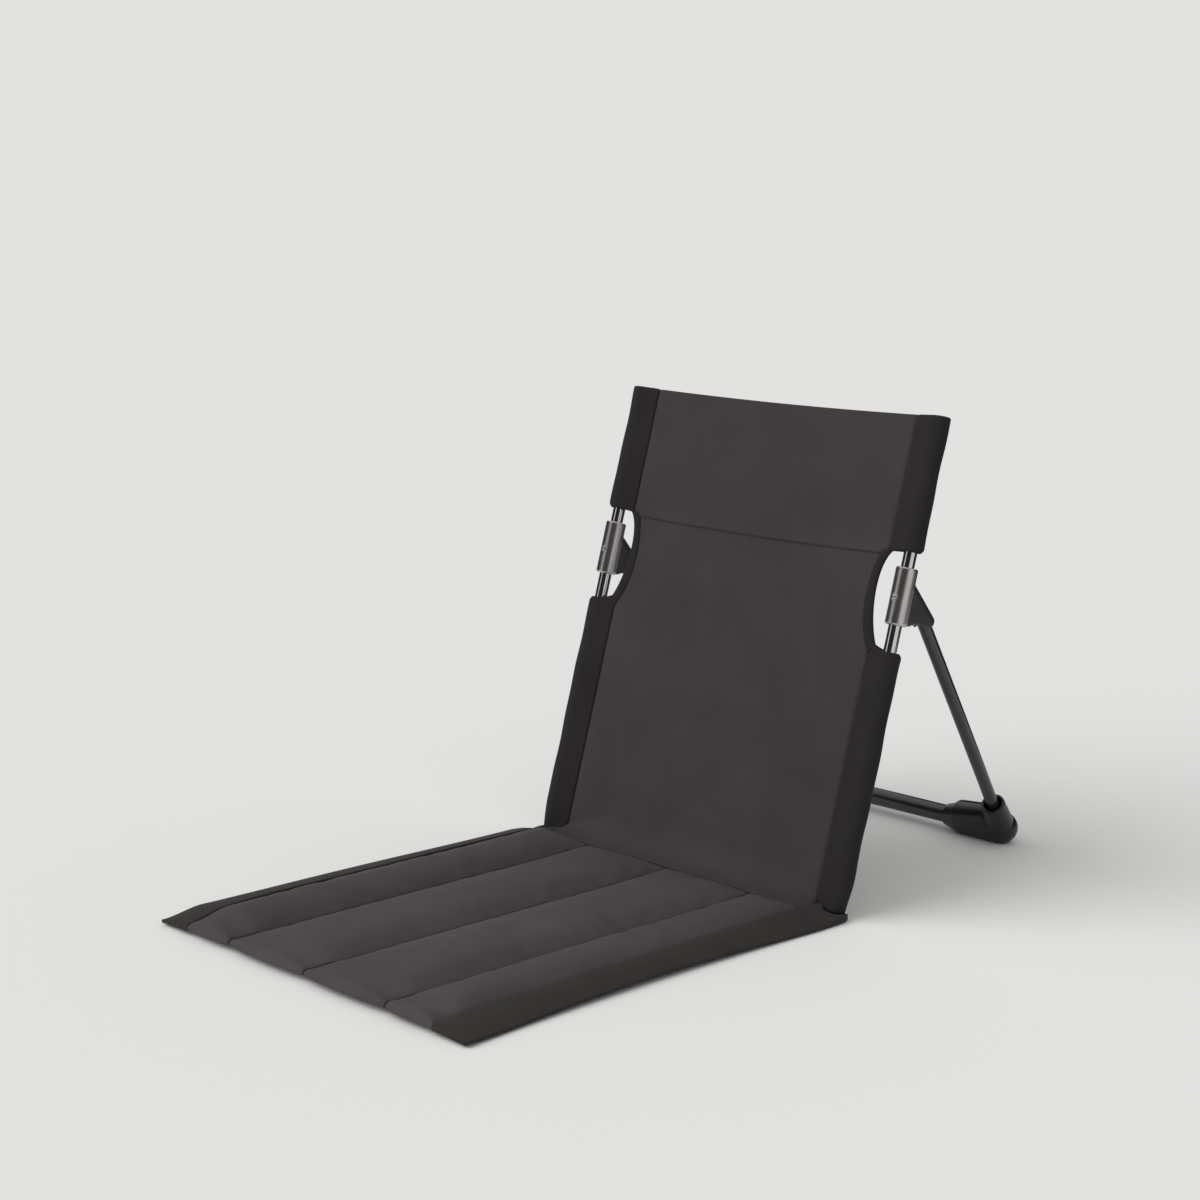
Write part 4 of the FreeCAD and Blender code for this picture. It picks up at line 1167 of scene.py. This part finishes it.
def border_ring(side, share):
    """One section of the border: over the slope, round the outer edge and back along the ground."""
    blunt = math.sqrt(max(0.0, 1 - (1 - min(1.0, share / BLUNT_SHARE)) ** 2))
    run = share * (BORDER_REAR - front_line(BORDER_INNER))
    seam_z = front_height(run, SEAM_Z[0], 0, underside(BORDER_INNER, 0)) + SEAM_COVER
    lift = BORDER_LIFT * math.sin(math.pi * share) ** LIFT_POWER
    outer = border_outer(share) - EDGE_RADIUS
    edge = lift + underside(outer, run)
    section = []
    for step in range(BORDER_TOP_STEPS):
        over = step / BORDER_TOP_STEPS
        x = mix(BORDER_INNER, outer, over)
        slope = mix(seam_z, edge + 2 * EDGE_RADIUS, over)
        section.append((x, slope + BORDER_SWELL * math.sin(math.pi * over) * blunt))
    for step in range(BORDER_EDGE_STEPS + 1):
        turn = math.pi * step / BORDER_EDGE_STEPS
        x = outer + EDGE_RADIUS * math.sin(turn)
        section.append((x, edge + EDGE_RADIUS * (1 + math.cos(turn))))
    for step in range(1, BORDER_TOP_STEPS + 1):
        over = 1 - step / BORDER_TOP_STEPS
        x = mix(BORDER_INNER, outer, over)
        section.append((x, underside(x, run) + lift * over ** 2))
    ring = []
    for x, z in section:
        y = mix(front_line(x), BORDER_REAR, share)
        ring.append(Vector((side * x, y, z + left_curl(side * x, y))))
    return ring


borders = []
for hand, side in SIDES.items():
    shares = [(step / (BORDER_RINGS - 1)) ** RING_CROWDING for step in range(BORDER_RINGS)]
    rings = [border_ring(side, share) for share in shares]
    border = new_piece(f"{hand}_border_cloth", ring_skin(rings, "filled"), BORDER_CLOTH,
                       "seat")
    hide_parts(f"{hand}_seat_border")
    borders.append(border)
print("borders:", [border.name for border in borders])

# %% [markdown]
# ## The corner pockets
# At each rear corner the border folds up round the foot of the pole, as a shallow pocket that the pole
# stands in. It is a small pillow whose top is hollowed, with a soft rim. The front of it takes over the
# border's slope, so the two read as one strip of cloth.

# %% Make the corner pockets
pocket_low, pocket_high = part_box("right_corner_pocket")
POCKET_SIZE = (pocket_high.x - pocket_low.x, pocket_high.y - pocket_low.y)
SLOPE_HIGH = 13.2 * MM
SLOPE_LOW = 3.9 * MM
SLOPE_SWELL = 1.6 * MM
RIM_CLIMB = (-1.2 * MM, 3.5 * MM)
RIM_RUN = 32 * MM
HOLLOW_DEPTH = 9 * MM
HOLLOW_RADIUS = 10.5 * MM
HOLLOW_EDGE = 4 * MM
HOLLOW_BEHIND = 2 * MM
RIM_START = 4 * MM
REAR_EDGE_SHARE = 0.4
CORNER_ROUNDING = 0.13
POCKET_GRID = (30, 40)


def pocket_plan(across, along):
    """A square grid drawn into a strip whose rear outer corner is round."""
    u, v = max(0.0, 2 * across - 1), max(0.0, 2 * along - 1)
    x = mix(pocket_low.x, pocket_high.x, across * (1 - CORNER_ROUNDING * v ** 4))
    y = mix(pocket_low.y, pocket_high.y, along * (1 - CORNER_ROUNDING * u ** 4))
    return x, y


def pocket_top(across, along):
    """A point of the pocket's top: the slope, its rim, the round rear edge and the hollow for the pole."""
    x, y = pocket_plan(across, along)
    slope = mix(SLOPE_HIGH, SLOPE_LOW, across) + SLOPE_SWELL * math.sin(math.pi * across)
    height = slope + mix(*RIM_CLIMB, across) * ease((y - pocket_low.y - RIM_START) / RIM_RUN)
    rounded = math.sqrt(max(0.0, 1 - max(0.0, 2 * along - 1) ** 8))
    height *= mix(REAR_EDGE_SHARE, 1.0, rounded)
    away = math.hypot(x - POLE_X, y - FOLD_Y - HOLLOW_BEHIND)
    hollow = 1 - ease((away - HOLLOW_RADIUS) / HOLLOW_EDGE + 0.5)
    return Vector((x, y, height - HOLLOW_DEPTH * hollow))


def pocket_bottom(across, along):
    x, y = pocket_plan(across, along)
    return Vector((x, y, GROUND_GAP))


for hand, side in SIDES.items():
    pocket_bm = pillow(*POCKET_GRID, pocket_top, pocket_bottom, POCKET_SIZE)
    bmesh.ops.scale(pocket_bm, verts=pocket_bm.verts, vec=(side, 1, 1))
    # The top follows the curled edge of the mat, and the underside stays on the ground.
    for vert in pocket_bm.verts:
        if vert.co.z > 2 * GROUND_GAP:
            vert.co.z += left_curl(vert.co.x, vert.co.y)
    pocket = new_piece(f"{hand}_pocket_cloth", pocket_bm, BORDER_CLOTH, "back")
    round_off(pocket)
    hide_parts(f"{hand}_corner_pocket")
print("pockets hold the poles at", round(POLE_X, 3), round(FOLD_Y, 3))

# %% [markdown]
# ## The sleeves' names
# Each sleeve's name is split into its hand and its level.

for sleeve in sleeves:
    hand, level = sleeve.name.split("_")[:2]
